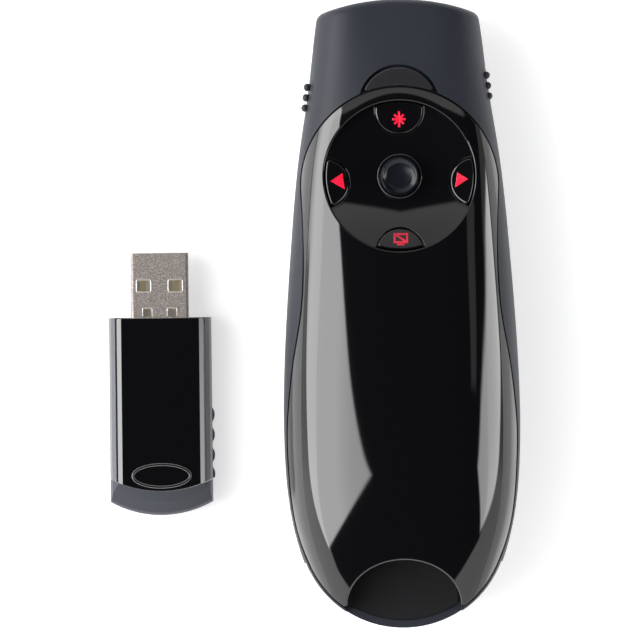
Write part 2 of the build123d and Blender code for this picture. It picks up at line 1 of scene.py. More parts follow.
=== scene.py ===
# %% [markdown]
# # A wireless presentation clicker and its USB receiver
# The handset is a soft-touch grey shell with a deep gloss black panel let into its top. A round
# dish in the panel holds a rubber thumbstick and four lens shaped keys with lit red signs. The
# receiver lies beside it. The solids come from the packed model, and this lesson gives them their
# surfaces: finely drawn skins for the mouldings that mirror the room, small trims, finishes,
# light and camera.

# %% Load the packed model
import math
import bpy
import numpy as np
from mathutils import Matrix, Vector


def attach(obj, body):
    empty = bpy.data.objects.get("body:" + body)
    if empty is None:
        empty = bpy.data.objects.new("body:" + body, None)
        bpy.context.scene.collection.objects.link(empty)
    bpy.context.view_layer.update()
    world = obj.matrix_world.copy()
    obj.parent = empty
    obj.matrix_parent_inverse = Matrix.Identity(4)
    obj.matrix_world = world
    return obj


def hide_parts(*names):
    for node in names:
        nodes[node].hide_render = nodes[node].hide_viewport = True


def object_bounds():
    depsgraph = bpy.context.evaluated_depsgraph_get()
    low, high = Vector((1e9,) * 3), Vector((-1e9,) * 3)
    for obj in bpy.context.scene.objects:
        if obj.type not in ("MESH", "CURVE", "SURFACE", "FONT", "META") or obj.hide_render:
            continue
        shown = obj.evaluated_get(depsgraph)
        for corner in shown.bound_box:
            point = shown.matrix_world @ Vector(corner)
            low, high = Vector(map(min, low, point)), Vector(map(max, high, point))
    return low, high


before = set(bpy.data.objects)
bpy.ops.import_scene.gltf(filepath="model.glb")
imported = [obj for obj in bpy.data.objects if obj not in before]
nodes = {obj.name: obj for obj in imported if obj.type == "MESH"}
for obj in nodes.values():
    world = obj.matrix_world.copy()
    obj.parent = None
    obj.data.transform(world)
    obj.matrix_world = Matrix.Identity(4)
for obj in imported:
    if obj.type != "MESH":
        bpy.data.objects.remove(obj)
solid_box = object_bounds()

# %% [markdown]
# ## The shell as one surface
# The handset's shell is a loft: ten closed curves across the handset, each a rounded box, joined
# by a smooth surface. A mesh cut from the solid has long thin triangles, and a mirror finish
# shows every one of them. So the visible mouldings get skins that follow the same curves on a
# fine even grid, with the surface's own direction written into each vertex. Reflections then run
# as on a polished mould.

# %% The sections of the shell
MM = 0.001
SEAM_Z = 13.0
TAIL_TIP, TAIL_RADIUS = -65.2, 21.8
# each station: y, half width, top, bottom, squareness of the upper half
STATIONS = [
    (68.0, 14.3, 19.0, 7.6, 3.0),
    (60.0, 17.0, 22.1, 4.7, 3.0),
    (48.0, 18.45, 24.8, 2.2, 3.0),
    (34.0, 20.55, 27.3, 0.9, 3.0),
    (14.0, 22.5, 29.3, 0.75, 3.0),
    (-8.0, 23.95, 30.0, 0.75, 3.0),
    (-28.0, 24.25, 29.7, 0.75, 3.0),
    (-44.0, 22.55, 28.4, 1.5, 3.1),
    (-56.0, 18.3, 26.1, 5.8, 3.3),
    (-68.0, 13.0, 22.4, 12.2, 3.5),
]
print("stations", len(STATIONS))


# %% A smooth curve through points
def spline(knots, values, at, closed=False):
    """Cubic spline through values at rising knots, read at the given places."""
    knots, values, at = (np.asarray(v, float) for v in (knots, values, at))
    count = len(knots)
    step = np.diff(knots)
    system, right = np.zeros((count, count)), np.zeros((count,) + values.shape[1:])
    column = (-1,) + (1,) * (values.ndim - 1)
    slope = (values[1:] - values[:-1]) / step.reshape(column)
    for i in range(1, count - 1):
        system[i, i - 1:i + 2] = step[i - 1], 2 * (step[i - 1] + step[i]), step[i]
        right[i] = 6 * (slope[i] - slope[i - 1])
    if closed:
        system[0, 0], system[0, -1] = 1, -1
        system[-1, 0], system[-1, 1] = 2 * step[0], step[0]
        system[-1, -1], system[-1, -2] = 2 * step[-1], step[-1]
        right[-1] = 6 * (slope[0] - slope[-1])
    else:
        system[0, 0] = system[-1, -1] = 1
    bend = np.linalg.solve(system, right.reshape(count, -1)).reshape(right.shape)
    i = np.clip(np.searchsorted(knots, at) - 1, 0, count - 2)
    h, a, b = (v.reshape(column) for v in (step[i], knots[i + 1] - at, at - knots[i]))
    return (bend[i] * a ** 3 + bend[i + 1] * b ** 3) / (6 * h) \
        + (values[i] / h - bend[i] * h / 6) * a + (values[i + 1] / h - bend[i + 1] * h / 6) * b


print("half way from 0 to 1 and back:", spline([0, 1, 2], [0, 1, 0], [0.5, 1.5]).round(3))

# %% The shell from its sections
SECTION_STEPS, LOWER_SQUARENESS = 12, 3.0


def run_along(points):
    """Distance travelled along a line of points, from 0."""
    return np.concatenate([[0], np.cumsum(np.linalg.norm(np.diff(points, axis=0), axis=1))])


def section(half, top, bottom, squareness, share):
    """Points of one closed section, share running from 0 at the bottom once round to 1."""
    points = []
    for k in range(SECTION_STEPS + 1):
        angle = 2 * math.pi * k / SECTION_STEPS - math.pi / 2
        c, s = math.cos(angle), math.sin(angle)
        high, p = (top - SEAM_Z, squareness) if s >= 0 else (SEAM_Z - bottom, LOWER_SQUARENESS)
        reach = (abs(c / half) ** p + abs(s / high) ** p) ** (-1 / p)
        points.append((reach * c, SEAM_Z + reach * s))
    points = np.array(points)
    run = run_along(points)
    return spline(run / run[-1], points, share, closed=True)


def shell_grid(y, share):
    """Positions of the shell in mm for every y and every share of the way round."""
    order = np.array([s[0] for s in STATIONS])[::-1]
    rings = np.array([section(*s[1:], share) for s in STATIONS])[::-1]
    xz = spline(order, rings, y)
    x, z = xz[:, :, 0], xz[:, :, 1]
    return np.stack([x, np.broadcast_to(y[:, None], x.shape), z], axis=-1)


def grid_normals(grid):
    """Unit normal of a grid of positions, by central differences."""
    normal = np.cross(np.gradient(grid, axis=0), np.gradient(grid, axis=1))
    return normal / np.linalg.norm(normal, axis=2, keepdims=True)


trial = shell_grid(np.array([0.0, -20.0]), np.linspace(0, 1, 9))
print("shell width at y 0:", round(float(trial[0, :, 0].max() * 2), 2), "mm")

# %% [markdown]
# ## Cutting a moulding along its lines
# A moulding ends at a line: the panel's outline, the rim of a key. Boolean cuts would leave
# ragged triangles there. Instead each moulding is a grid with a signed distance to its edge
# lines, negative inside. Cells that a line crosses are clipped to it. The edge is then rolled
# over a small radius and runs down as a wall, since no moulded edge is knife sharp, and a lower
# sheet closes the piece.

# %% Cut a grid along its rims
NEAR_EDGE, LEVEL_STEP, STEEPEST_LEAN = 1.0, 0.01, 0.95


def gradient(distance, points):
    """Level direction in which a distance grows fastest, at each point."""
    steepest = np.zeros_like(points)
    for axis in (0, 1):
        shift = np.zeros(3)
        shift[axis] = LEVEL_STEP
        steepest[..., axis] = distance(points + shift) - distance(points - shift)
    return steepest / np.maximum(np.linalg.norm(steepest, axis=-1, keepdims=True), 1e-9)


class CutGrid:
    """Grid of points in mm clipped by rims, each (distance, roll radius, drop of the wall)."""

    def __init__(self, grid, normal, rims):
        self.flat, self.lead = grid.reshape(-1, 3), normal.reshape(-1, 3)
        self.rims, self.vertices, self.normals, self.faces = rims, [], [], []
        self.corners, self.crossings, self.open_edges = {}, {}, []
        self.shares = np.array([self.share(*rim[:2]) for rim in rims])
        self.outside = self.shares.max(axis=0)
        self.clip(grid, normal)

    def share(self, distance, roll):
        """Distance to where the roll of a rim begins."""
        far = distance(self.flat)
        near = np.abs(far) < NEAR_EDGE
        lean = np.zeros(len(far))
        out = gradient(distance, self.flat[near])
        lean[near] = np.clip((out * self.lead[near]).sum(1), -STEEPEST_LEAN, STEEPEST_LEAN)
        return far + roll * (1 - lean)

    def add(self, point, normal):
        self.vertices.append(np.array(point))
        self.normals.append(np.array(normal) / np.linalg.norm(normal))
        return len(self.vertices) - 1

    def corner(self, index):
        """Vertex on a point of the grid."""
        if index not in self.corners:
            self.corners[index] = self.add(self.flat[index], self.lead[index])
        return self.corners[index]

    def crossing(self, a, b):
        """Vertex where a rim crosses the side between two points of the grid."""
        key = (min(a, b), max(a, b))
        if key not in self.crossings:
            a, b = key
            t = self.outside[a] / (self.outside[a] - self.outside[b])
            between = [v[a] + t * (v[b] - v[a]) for v in (self.flat, self.lead, self.shares.T)]
            self.crossings[key] = (self.add(*between[:2]), int(between[2].argmax()))
        return self.crossings[key][0]

    def clip(self, grid, normal):
        """Keeps the cells inside, cutting those that a rim crosses."""
        rows, columns = grid.shape[:2]
        inside = self.outside < 0
        facing = np.cross(grid[0, 1] - grid[0, 0], grid[1, 0] - grid[0, 0]) @ normal[0, 0] > 0
        for start in (j * columns + k for j in range(rows - 1) for k in range(columns - 1)):
            loop = [start, start + 1, start + columns + 1, start + columns]
            if not inside[loop].any():
                continue
            loop = loop if facing else loop[::-1]
            face, cut = [], []
            for a, b in zip(loop, loop[1:] + loop[:1]):
                if inside[a]:
                    face.append(self.corner(a))
                if inside[a] != inside[b]:
                    cut.append(self.crossing(a, b))
                    face.append(cut[-1])
            self.faces.append(face)
            if len(cut) == 2:
                following = face[(face.index(cut[0]) + 1) % len(face)] == cut[1]
                self.open_edges.append(cut if following else cut[::-1])


print("a rim's lean counts within", NEAR_EDGE, "mm of it")


# %% A mesh as a piece
def new_piece(name, vertices, faces, finish, body=None, slot=None, smooth=True):
    """Object made from points in mm, which may ride on a body of the packed model."""
    mesh = bpy.data.meshes.new(name)
    mesh.from_pydata([tuple(p) for p in np.asarray(vertices) * MM], [], faces)
    for polygon in mesh.polygons:
        polygon.use_smooth = smooth
    mesh.materials.append(finish)
    piece = bpy.data.objects.new(name, mesh)
    bpy.context.scene.collection.objects.link(piece)
    if body:
        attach(piece, body)
    print(name, len(faces), "faces")
    return piece

# %% Roll the edges and close the piece
ROLL_STEPS = 4


class Moulding(CutGrid):
    """A cut grid with rolled edges, walls below them and a lower sheet."""

    def __init__(self, grid, normal, rims, thick):
        super().__init__(grid, normal, rims)
        self.close(thick)

    def rolled(self, index, rim, low):
        """Vertices from an open edge round its roll, down the wall and on to the lower sheet."""
        distance, roll, drop = self.rims[rim]
        point, lead = self.vertices[index], self.normals[index]
        out = gradient(distance, point[None])[0]
        turns = [lead * (1 - t) + out * t for t in np.linspace(0, 1, ROLL_STEPS + 1)[1:]]
        turns = [t / np.linalg.norm(t) for t in turns]
        ring = [index] + [self.add(point + roll * (t - lead), t) for t in turns]
        foot = self.vertices[ring[-1]] - (0, 0, drop)
        return ring + [self.add(foot, out), self.add(foot, -lead), low]

    def close(self, thick):
        rim_of = dict(self.crossings.values())
        sheet, upper = list(self.faces), len(self.vertices)
        low = [self.add(p - thick * n, -n)
               for p, n in zip(self.vertices[:upper], self.normals[:upper])]
        edge = {index: self.rolled(index, rim_of[index], low[index]) for index in sorted(rim_of)}
        for first, second in self.open_edges:
            a, b = edge[first], edge[second]
            self.faces += [[b[k], a[k], a[k + 1], b[k + 1]]
                           for k in range(len(a) - 1) if k != ROLL_STEPS + 1]
        self.faces += [[low[v] for v in reversed(face)] for face in sheet]

    def build(self, name, finish, body, slot):
        """The moulding as a piece, with the surface's own direction in each vertex."""
        piece = new_piece(name, self.vertices, self.faces, finish, body, slot)
        piece.data.normals_split_custom_set_from_vertices([tuple(n) for n in self.normals])
        return piece


print("edges rolled in", ROLL_STEPS, "steps")

# %% [markdown]
# ## The lines of the mouldings
# Every seam that shows is one of a few lines: the plan of the shell, the outline of the gloss
# panel, the dish, the half-oval scoop at the tail and the lens of each key. Each is written once
# as a distance, so the panel and the grey shell round it share a seam of even width.

# %% Shapes in plan
HEAD_Y, HEAD_RADIUS, HEAD_TURN = 26.4, 20.5, math.radians(-4)
PANEL_SIDE = [(20.15, 8.0), (20.9, -1.0), (22.3, -9.0), (23.3, -17.0), (23.8, -24.0),
              (23.6, -32.0), (22.9, -40.0), (21.3, -47.2), (19.2, -52.5)]
DISH_Y, DISH_RADIUS, DISH_RIM_Z, DISH_SLOPE, DISH_DEPTH = 28.4, 15.6, 25.5, 0.128, 1.7
SCOOP_HALF, SCOOP_Y, SCOOP_DEEP = 11.7, -60.2, 9.3
STICK_HOLE = 3.9


def circle(x, y, radius):
    """Distance to a circle in plan."""
    return lambda p: np.hypot(p[..., 0] - x, p[..., 1] - y) - radius


def outside_of(distance):
    """Everything outside a shape."""
    return lambda p: -distance(p)


def shared(*distances):
    """The region inside every one of the shapes."""
    return lambda p: np.maximum.reduce([d(p) for d in distances])


print("dish", 2 * DISH_RADIUS, "mm wide, scoop", 2 * SCOOP_HALF, "mm wide")

# %% Outline of the gloss panel
HEAD_POINTS, SIDE_POINTS, TAIL_POINTS = 80, 160, 60


def arc(radius, y, start, end, count):
    """Points on a circle about the middle line, from one angle to another."""
    return [(radius * math.cos(a), y + radius * math.sin(a))
            for a in np.linspace(start, end, count)]


def panel_line():
    """Closed outline of the gloss panel as a dense run of points."""
    head = arc(HEAD_RADIUS, HEAD_Y, math.pi / 2, HEAD_TURN, HEAD_POINTS)
    side = np.array(head[-1:] + PANEL_SIDE)
    run = run_along(side)
    fine = spline(run, side, np.linspace(0, run[-1], SIDE_POINTS))
    tail_y = TAIL_TIP + TAIL_RADIUS
    end_x, end_y = side[-1][0], side[-1][1] - tail_y
    reach, begin = math.hypot(end_x, end_y), math.atan2(end_y, end_x)
    tail = arc(reach, tail_y, begin, -math.pi / 2, TAIL_POINTS)
    half = np.array(head[:-1] + [tuple(q) for q in fine] + tail[1:])
    return np.concatenate([half, half[::-1][1:-1] * (-1, 1)])


PANEL_LINE = panel_line()
print("panel outline", len(PANEL_LINE), "points")

# %% Distances to the panel and the scoop
BATCH = 4000


def panel_edge(p):
    """Signed distance to the panel outline, negative inside."""
    flat = p[..., :2].reshape(-1, 2)
    a, b = PANEL_LINE, np.roll(PANEL_LINE, -1, axis=0)
    ab = b - a
    length = (ab ** 2).sum(1)
    result = np.zeros(len(flat))
    for start in range(0, len(flat), BATCH):
        q = flat[start:start + BATCH, None, :]
        t = np.clip(((q - a) * ab).sum(2) / length, 0, 1)
        near = np.sqrt((((q - a) - t[..., None] * ab) ** 2).sum(2)).min(1)
        above = (a[:, 1] > q[..., 1]) != (b[:, 1] > q[..., 1])
        climb = np.where(ab[:, 1] == 0, 1e-9, ab[:, 1])
        cross = a[:, 0] + (q[..., 1] - a[:, 1]) / climb * ab[:, 0]
        inside = ((above & (q[..., 0] < cross)).sum(1) % 2) == 1
        result[start:start + BATCH] = np.where(inside, -near, near)
    return result.reshape(p.shape[:-1])


def scoop_edge(p):
    """Distance to the half-oval scoop, open to the rear."""
    x, y = p[..., 0] / SCOOP_HALF, np.maximum((p[..., 1] - SCOOP_Y) / SCOOP_DEEP, 0)
    size, slope = np.hypot(x, y), np.hypot(x / SCOOP_HALF, y / SCOOP_DEEP)
    return (size - 1) * size / np.maximum(slope, 1e-6)


inner = np.array([[0.0, -30.0, 0.0]])
print("half width of the panel at y -30:", round(float(-panel_edge(inner)[0]), 2), "mm")

# %% [markdown]
# ## Shader maths in plain Python
# A finish is a small network of nodes. Wiring each node by hand hides the idea behind it, so one
# class wraps a socket and gives it the ordinary operators: `grain * 0.2 + 0.4` adds the Math
# nodes itself. A second class is the finish under construction, with one method that adds any
# other node.


# %% The socket wrapper
def operator(operation, reflected=False):
    """A method that adds one Math node, its two values swapped in the reflected form."""
    def method(self, other):
        return self.math(operation, *((other, self) if reflected else (self, other)))
    return method


class Wire:
    """One output socket of a network, with the operators that shader maths needs."""

    def __init__(self, network, socket):
        self.network, self.socket = network, socket

    def math(self, operation, *values):
        settings = {"operation": operation}
        return self.network.node("ShaderNodeMath", settings, dict(enumerate(values)))

    def __abs__(self):
        return self.math("ABSOLUTE", self)

    __add__, __radd__ = operator("ADD"), operator("ADD", True)
    __sub__, __rsub__ = operator("SUBTRACT"), operator("SUBTRACT", True)
    __mul__, __rmul__ = operator("MULTIPLY"), operator("MULTIPLY", True)
    __lt__, __gt__ = operator("LESS_THAN"), operator("GREATER_THAN")
    at_least, at_most = operator("MAXIMUM"), operator("MINIMUM")


print("a wire has", len([n for n, part in vars(Wire).items() if callable(part)]), "methods")


# %% A network of nodes
class Network:
    """A tree of nodes under construction, of a finish or of the room."""

    def __init__(self, owner, output):
        owner.use_nodes = True
        self.owner, self.tree = owner, owner.node_tree
        self.tree.nodes.clear()
        self.output = self.tree.nodes.new(output)

    def node(self, kind, settings, sockets, out=0):
        """Adds a node: its settings first, then values or links of its sockets."""
        made = self.tree.nodes.new(kind)
        for key, value in settings.items():
            setattr(made, key, value)
        for key, value in sockets.items():
            if isinstance(value, Wire):
                self.tree.links.new(value.socket, made.inputs[key])
            else:
                made.inputs[key].default_value = value
        return Wire(self, made.outputs[out])

    def ramp(self, value, low, high):
        """0 at low, 1 at high, smooth between."""
        return self.node("ShaderNodeMapRange", {"interpolation_type": "SMOOTHSTEP"},
                         {"Value": value, "From Min": low, "From Max": high})

    def axis(self, letter):
        """One coordinate of the place."""
        return self.node("ShaderNodeSeparateXYZ", {}, {0: self.place}, letter)

    def show(self, shader):
        self.tree.links.new(shader.socket, self.output.inputs["Surface"])
        return self.owner


print("a network has", len([n for n, part in vars(Network).items() if callable(part)]), "methods")


# %% A finish
class Finish(Network):
    """A material being made, in object coordinates measured in millimetres."""

    def __init__(self, name):
        super().__init__(bpy.data.materials.new(name), "ShaderNodeOutputMaterial")
        place = self.node("ShaderNodeTexCoord", {}, {}, "Object")
        self.place = self.vector("SCALE", {0: place, "Scale": 1 / MM})

    def vector(self, operation, sockets):
        return self.node("ShaderNodeVectorMath", {"operation": operation}, sockets, "Vector")

    def noise(self, size, detail=2.0, roughness=0.5, stretch=(1, 1, 1)):
        """Soft random pattern whose patches are about size mm across, from 0 to 1."""
        where = self.vector("MULTIPLY", {0: self.place, 1: stretch})
        sockets = {"Vector": where, "Scale": 1 / size, "Detail": detail, "Roughness": roughness}
        return self.node("ShaderNodeTexNoise", {}, sockets, "Fac")

    def cells(self, size):
        """Distance pattern of scattered cells about size mm apart."""
        sockets = {"Vector": self.place, "Scale": 1 / size}
        return self.node("ShaderNodeTexVoronoi", {}, sockets, "Distance")

    def mix(self, share, first, second):
        """Blend of two colours."""
        sockets = {0: share, 6: first, 7: second}
        return self.node("ShaderNodeMix", {"data_type": "RGBA"}, sockets, 2)

    def bump(self, height, depth):
        """Normal of a surface raised by height times depth mm."""
        sockets = {"Height": height, "Distance": depth * MM, "Strength": 1.0}
        return self.node("ShaderNodeBump", {}, sockets, "Normal")

    def surface(self, **sockets):
        """The principled surface, its socket names written with underscores."""
        named = {key.replace("_", " "): value for key, value in sockets.items()}
        return self.show(self.node("ShaderNodeBsdfPrincipled", {}, named, "BSDF"))


print("a finish adds", len([n for n, part in vars(Finish).items() if callable(part)]), "methods")


# %% Colours
def tint(red, green, blue):
    """Screen colour of 0 to 255 as the linear colour of shaders, by the screen's own curve."""
    parts = [v / 255 for v in (red, green, blue)]
    linear = [v / 12.92 if v <= 0.04045 else ((v + 0.055) / 1.055) ** 2.4 for v in parts]
    return (*linear, 1.0)


def darker(colour, share):
    """The same colour with only a share of its light."""
    return (*(share * v for v in colour[:3]), 1.0)


print("soft grey in linear light", [round(v, 3) for v in tint(61, 64, 72)])

# %% [markdown]
# ## The grey soft-touch shell
# The housings are sprayed with a soft-touch paint: a fine even grain, no clear reflections, only
# a broad pale sheen. A noise a tenth of a millimetre across makes the grain as a bump. Larger
# faint patches change the roughness a little, as handling does. Both run in object space, so the
# two housings match at their seam.

# %% Soft grey paint
PAINT_GRAIN, PAINT_DEPTH, PAINT_ROUGHNESS, HANDLED_PATCH = 0.12, 0.010, 0.42, 9.0


def add_finishes(recipe, table):
    """Makes one finish by the recipe for each name in the table."""
    for name, values in table.items():
        finishes[name] = recipe(name, *values)
    print("made", *table)


def soft_paint(name, colour):
    finish = Finish(name)
    speck = finish.noise(PAINT_GRAIN, detail=3.0, roughness=0.6)
    patch = finish.noise(HANDLED_PATCH, detail=3.0)
    return finish.surface(Base_Color=finish.mix(patch, darker(colour, 0.92), colour),
                          Roughness=patch * 0.08 + PAINT_ROUGHNESS + speck * 0.03,
                          Normal=finish.bump(speck, PAINT_DEPTH), Specular_IOR_Level=0.38)


finishes = {}
add_finishes(soft_paint, {"soft_grey": (tint(39, 42, 52),)})

# %% [markdown]
# ## Piano black
# The panel, the keys and the receiver's cover are polished black plastic under a clear lacquer.
# Almost all of what we see in it is the room. The base is nearly black, and a clear coat gives
# the sharp reflection. Very faint waves from moulding bend the highlights, and a thin haze of
# fine wiping marks makes them less than perfect.

# %% Lacquered black
DEEP_BLACK = (0.0036, 0.0036, 0.0046, 1.0)
MOULD_WAVE, WAVE_LENGTH = 0.0015, 7.0
# each lacquer: colour, haze, refraction of its clear coat
LACQUERS = {
    "piano_black": (DEEP_BLACK, 0.035, 1.5),
    "cover_black": (DEEP_BLACK, 0.035, 1.8),
    "smoke_window": (tint(38, 37, 41), 0.25, 1.5),
    "nose_dark": (tint(34, 10, 14), 0.12, 1.5),
    "ring_black": (tint(60, 62, 66), 0.1, 1.5),
}


def lacquer(name, colour, haze, coat_ior):
    finish = Finish(name)
    waves = finish.noise(WAVE_LENGTH, detail=1.0)
    wipe = finish.noise(0.5, detail=4.0, roughness=0.7, stretch=(1, 0.12, 1))
    spots = finish.ramp(finish.cells(2.3), 0.05, 0.0)
    return finish.surface(Base_Color=colour, Roughness=haze + wipe * 0.03 + spots * 0.1,
                          Normal=finish.bump(waves, MOULD_WAVE), Coat_Weight=1.0,
                          Coat_Roughness=0.02, Coat_IOR=coat_ior, IOR=1.5)


add_finishes(lacquer, LACQUERS)

# %% [markdown]
# ## Moulded plastics and rubber
# The parts that nobody polishes keep the grain of their mould: a spark-eroded texture on the door
# and the receiver's flanks, a finer one on rubber, which is also softer in its shine. One recipe
# makes them all, from a colour, a grain size and a roughness.

# %% Moulded plastics and rubber
# each finish: colour, size and depth of its grain, roughness, sheen, shine
PLASTICS = {
    "door_black": (tint(30, 31, 35), 0.28, 0.02, 0.45, 0.0, 0.5),
    "grip_rubber": (tint(33, 35, 41), 0.16, 0.012, 0.52, 0.12, 0.5),
    "bay_black": (tint(15, 16, 19), 0.3, 0.010, 0.5, 0.0, 0.35),
    "switch_body": (tint(26, 26, 28), 0.2, 0.008, 0.4, 0.0, 0.5),
    "plunger_white": (tint(222, 219, 208), 0.25, 0.006, 0.35, 0.0, 0.5),
    "ceramic_tan": (tint(176, 138, 96), 0.12, 0.006, 0.4, 0.0, 0.5),
    "stick_rubber": (tint(21, 24, 31), 0.14, 0.002, 0.2, 0.0, 0.42),
    "receiver_grey": (tint(62, 65, 74), 0.2, 0.006, 0.38, 0.0, 0.5),
    "receiver_side": (tint(108, 110, 116), 0.2, 0.006, 0.3, 0.0, 0.5),
    "plug_tongue": (tint(196, 192, 180), 0.2, 0.004, 0.45, 0.0, 0.5),
}


def moulded(name, colour, grain, depth, roughness, sheen, shine):
    finish = Finish(name)
    pits = finish.cells(grain)
    speck = finish.noise(grain * 0.7, detail=3.0)
    wear = finish.noise(6.0, detail=4.0, roughness=0.6)
    return finish.surface(Base_Color=finish.mix(wear, darker(colour, 0.84), colour),
                          Roughness=roughness - 0.05 + wear * 0.1,
                          Normal=finish.bump(pits * 0.6 + speck * 0.4, depth),
                          Sheen_Weight=sheen, Sheen_Roughness=0.5, Specular_IOR_Level=shine)


add_finishes(moulded, PLASTICS)

# %% [markdown]
# ## Metals
# The plug's sheet is nickel plated and finely blasted, the cans on the board are tinned and
# duller, and the laser's barrel is turned brass with rings round its axis. Metals differ in
# colour, in roughness and above all in the direction of their tool marks, so each stretches a
# noise. The blasted sheet has no direction, so its speckle is an even noise with its contrast
# raised.

# %% Metals
TOOL_MARK, MARK_DEPTH, CLOUD = 0.15, 0.0006, 3.0
# each metal: colour, roughness, stretch of its tool marks along x, y and z
METALS = {
    "bright_nickel": (tint(236, 232, 226), 0.2, (1, 0.3, 1)),
    "can_steel": (tint(196, 196, 198), 0.3, (0.1, 1, 1)),
    "screw_steel": (tint(150, 150, 155), 0.3, (1, 1, 0.2)),
    "contact_gold": (tint(196, 180, 144), 0.4, (1, 0.08, 1)),
    "brass_barrel": (tint(214, 178, 96), 0.22, (0.1, 2.0, 0.1)),
}


def metal(name, colour, roughness, stretch):
    finish = Finish(name)
    marks = finish.noise(TOOL_MARK, stretch=stretch)
    cloud = finish.noise(CLOUD, detail=3.0)
    return finish.surface(Base_Color=finish.mix(cloud, darker(colour, 0.8), colour), Metallic=1.0,
                          Roughness=roughness + marks * 0.12 + cloud * 0.12 - 0.06,
                          Normal=finish.bump(marks, MARK_DEPTH))


add_finishes(metal, METALS)

# %% Blasted sheet
BLAST_GRAIN, BLAST_DEPTH, BLAST_ROUGHNESS = 0.34, 0.0015, 0.5


def blasted(name, colour):
    """Sheet metal with the fine speckle that blasting leaves."""
    finish = Finish(name)
    pits = finish.ramp(finish.noise(BLAST_GRAIN, detail=3.0, roughness=0.7), 0.38, 0.62)
    return finish.surface(Base_Color=finish.mix(pits, darker(colour, 0.52), colour),
                          Metallic=1.0, Roughness=BLAST_ROUGHNESS + pits * 0.08,
                          Normal=finish.bump(pits, BLAST_DEPTH))


add_finishes(blasted, {"plug_nickel": (tint(192, 183, 177),)})

# %% [markdown]
# ## Circuit boards, lamps and cells
# A board is glass fibre under green resist, with copper tracks that stand up under it as paler
# lines. The cells wear a printed sleeve, black with a copper coloured end, which a step along
# their length gives. The lamps are clear resin. Nobody sees these until a cover is off, but a
# cut-away shows them.

# %% Circuit board
TRACK_SCALE, TRACK_WIDTH, RESIST_DEPTH = 0.42, 0.035, 0.03


def resist_green(name):
    finish = Finish(name)
    black, white = (0, 0, 0, 1), (1, 1, 1, 1)
    sockets = {"Vector": finish.place, "Scale": TRACK_SCALE, "Mortar Size": TRACK_WIDTH,
               "Color1": black, "Color2": black, "Mortar": white}
    tracks = finish.node("ShaderNodeTexBrick", {"offset": 0.37, "squash": 1.6}, sockets, "Fac")
    speck = finish.noise(0.3)
    body = finish.mix(tracks, tint(20, 74, 44), tint(44, 116, 66))
    body = finish.mix(speck * 0.3, body, tint(12, 52, 30))
    return finish.surface(Base_Color=body, Roughness=0.32 + speck * 0.1, Coat_Weight=0.4,
                          Normal=finish.bump(tracks + speck * 0.2, RESIST_DEPTH))


add_finishes(resist_green, {"board_green": ()})

# %% Cells and clear resin
# where the copper band and the bare tip of each cell begin and end along y
LEFT_BAND, RIGHT_BAND = (-14.0, -13.6), (-20.4, -20.8)
LEFT_TIP, RIGHT_TIP = (5.9, 6.1), (-40.2, -40.4)


def cell_sleeve(name):
    finish = Finish(name)
    along = finish.axis("Y")
    left = finish.axis("X") < 0
    band = finish.ramp(along, *LEFT_BAND) * left + finish.ramp(along, *RIGHT_BAND) * (1 - left)
    tip = finish.ramp(along, *LEFT_TIP) * left + finish.ramp(along, *RIGHT_TIP) * (1 - left)
    scuff = finish.noise(1.2, detail=5.0, roughness=0.6)
    sleeve = finish.mix(1 - band, tint(28, 28, 32), tint(176, 112, 62))
    return finish.surface(Base_Color=finish.mix(tip, sleeve, tint(190, 190, 188)),
                          Roughness=scuff * 0.16 + 0.2, Metallic=tip * 0.4 + 0.6 - band * 0.5,
                          Normal=finish.bump(scuff, 0.01), Coat_Weight=0.5)


def clear_resin(name, colour, roughness):
    finish = Finish(name)
    swirl = finish.noise(0.9)
    return finish.surface(Base_Color=colour, Roughness=roughness + swirl * 0.05, IOR=1.49,
                          Transmission_Weight=0.85, Normal=finish.bump(swirl, 0.003))


add_finishes(cell_sleeve, {"cell_wrap": ()})
add_finishes(clear_resin, {"lamp_clear": ((0.9, 0.9, 0.86, 1.0), 0.08),
                           "laser_glass": ((0.9, 0.95, 1.0, 1.0), 0.02)})

# %% [markdown]
# ## Lit red
# The signs on the keys are windows of red resin with a lamp under each. A lit sign is brightest
# where the lamp is and fades to its rims; here its glow is only a noise-softened value in the
# emission colour.

# %% Lit red
RED_RESIN = tint(120, 6, 24)
# each light: brightest and dimmest colour, strength
LIGHTS = {
    "red_guide": (tint(120, 10, 30), tint(70, 6, 18), 0.6),
    "sign_bright": (tint(255, 32, 72), tint(232, 20, 54), 1.0),
    "sign_soft": (tint(206, 40, 66), tint(160, 28, 50), 1.0),
}


def lit_red(name, bright, dim, strength):
    finish = Finish(name)
    glow = finish.noise(1.3, detail=1.0)
    light = finish.mix(finish.ramp(glow, 0.3, 0.7), dim, bright)
    return finish.surface(Base_Color=RED_RESIN, Roughness=0.25 + glow * 0.08,
                          Emission_Color=light, Emission_Strength=strength,
                          Normal=finish.bump(glow, 0.004), Coat_Weight=0.6)


add_finishes(lit_red, LIGHTS)

# %% [markdown]
# ## Dressing the packed model
# The packed solids come with plain named slots. Each slot gets the finish of the same name, so
# one dictionary dresses every node at once. Only the receiver's lower half is lighter than its
# cap.

# %% Dress the nodes of the packed model
for node_name in sorted(nodes):
    for held in nodes[node_name].material_slots:
        held.material = finishes[held.material.name.split(".")[0]]
nodes["receiver_base"].material_slots[0].material = finishes["receiver_side"]
print("dressed", len(nodes), "nodes")

# %% [markdown]
# ## The gloss panel and its dish
# On the real handset the panel is one polished moulding: a skin a millimetre and a half thick
# with a shallow spherical dish sunk in its head. The top follows the shell, and the dish is a
# piece of a large ball with holes for the keys and the thumbstick. Both are drawn here as
# mouldings with rolled edges, because the bright line along a rim is what tells the eye that a
# black part has thickness.

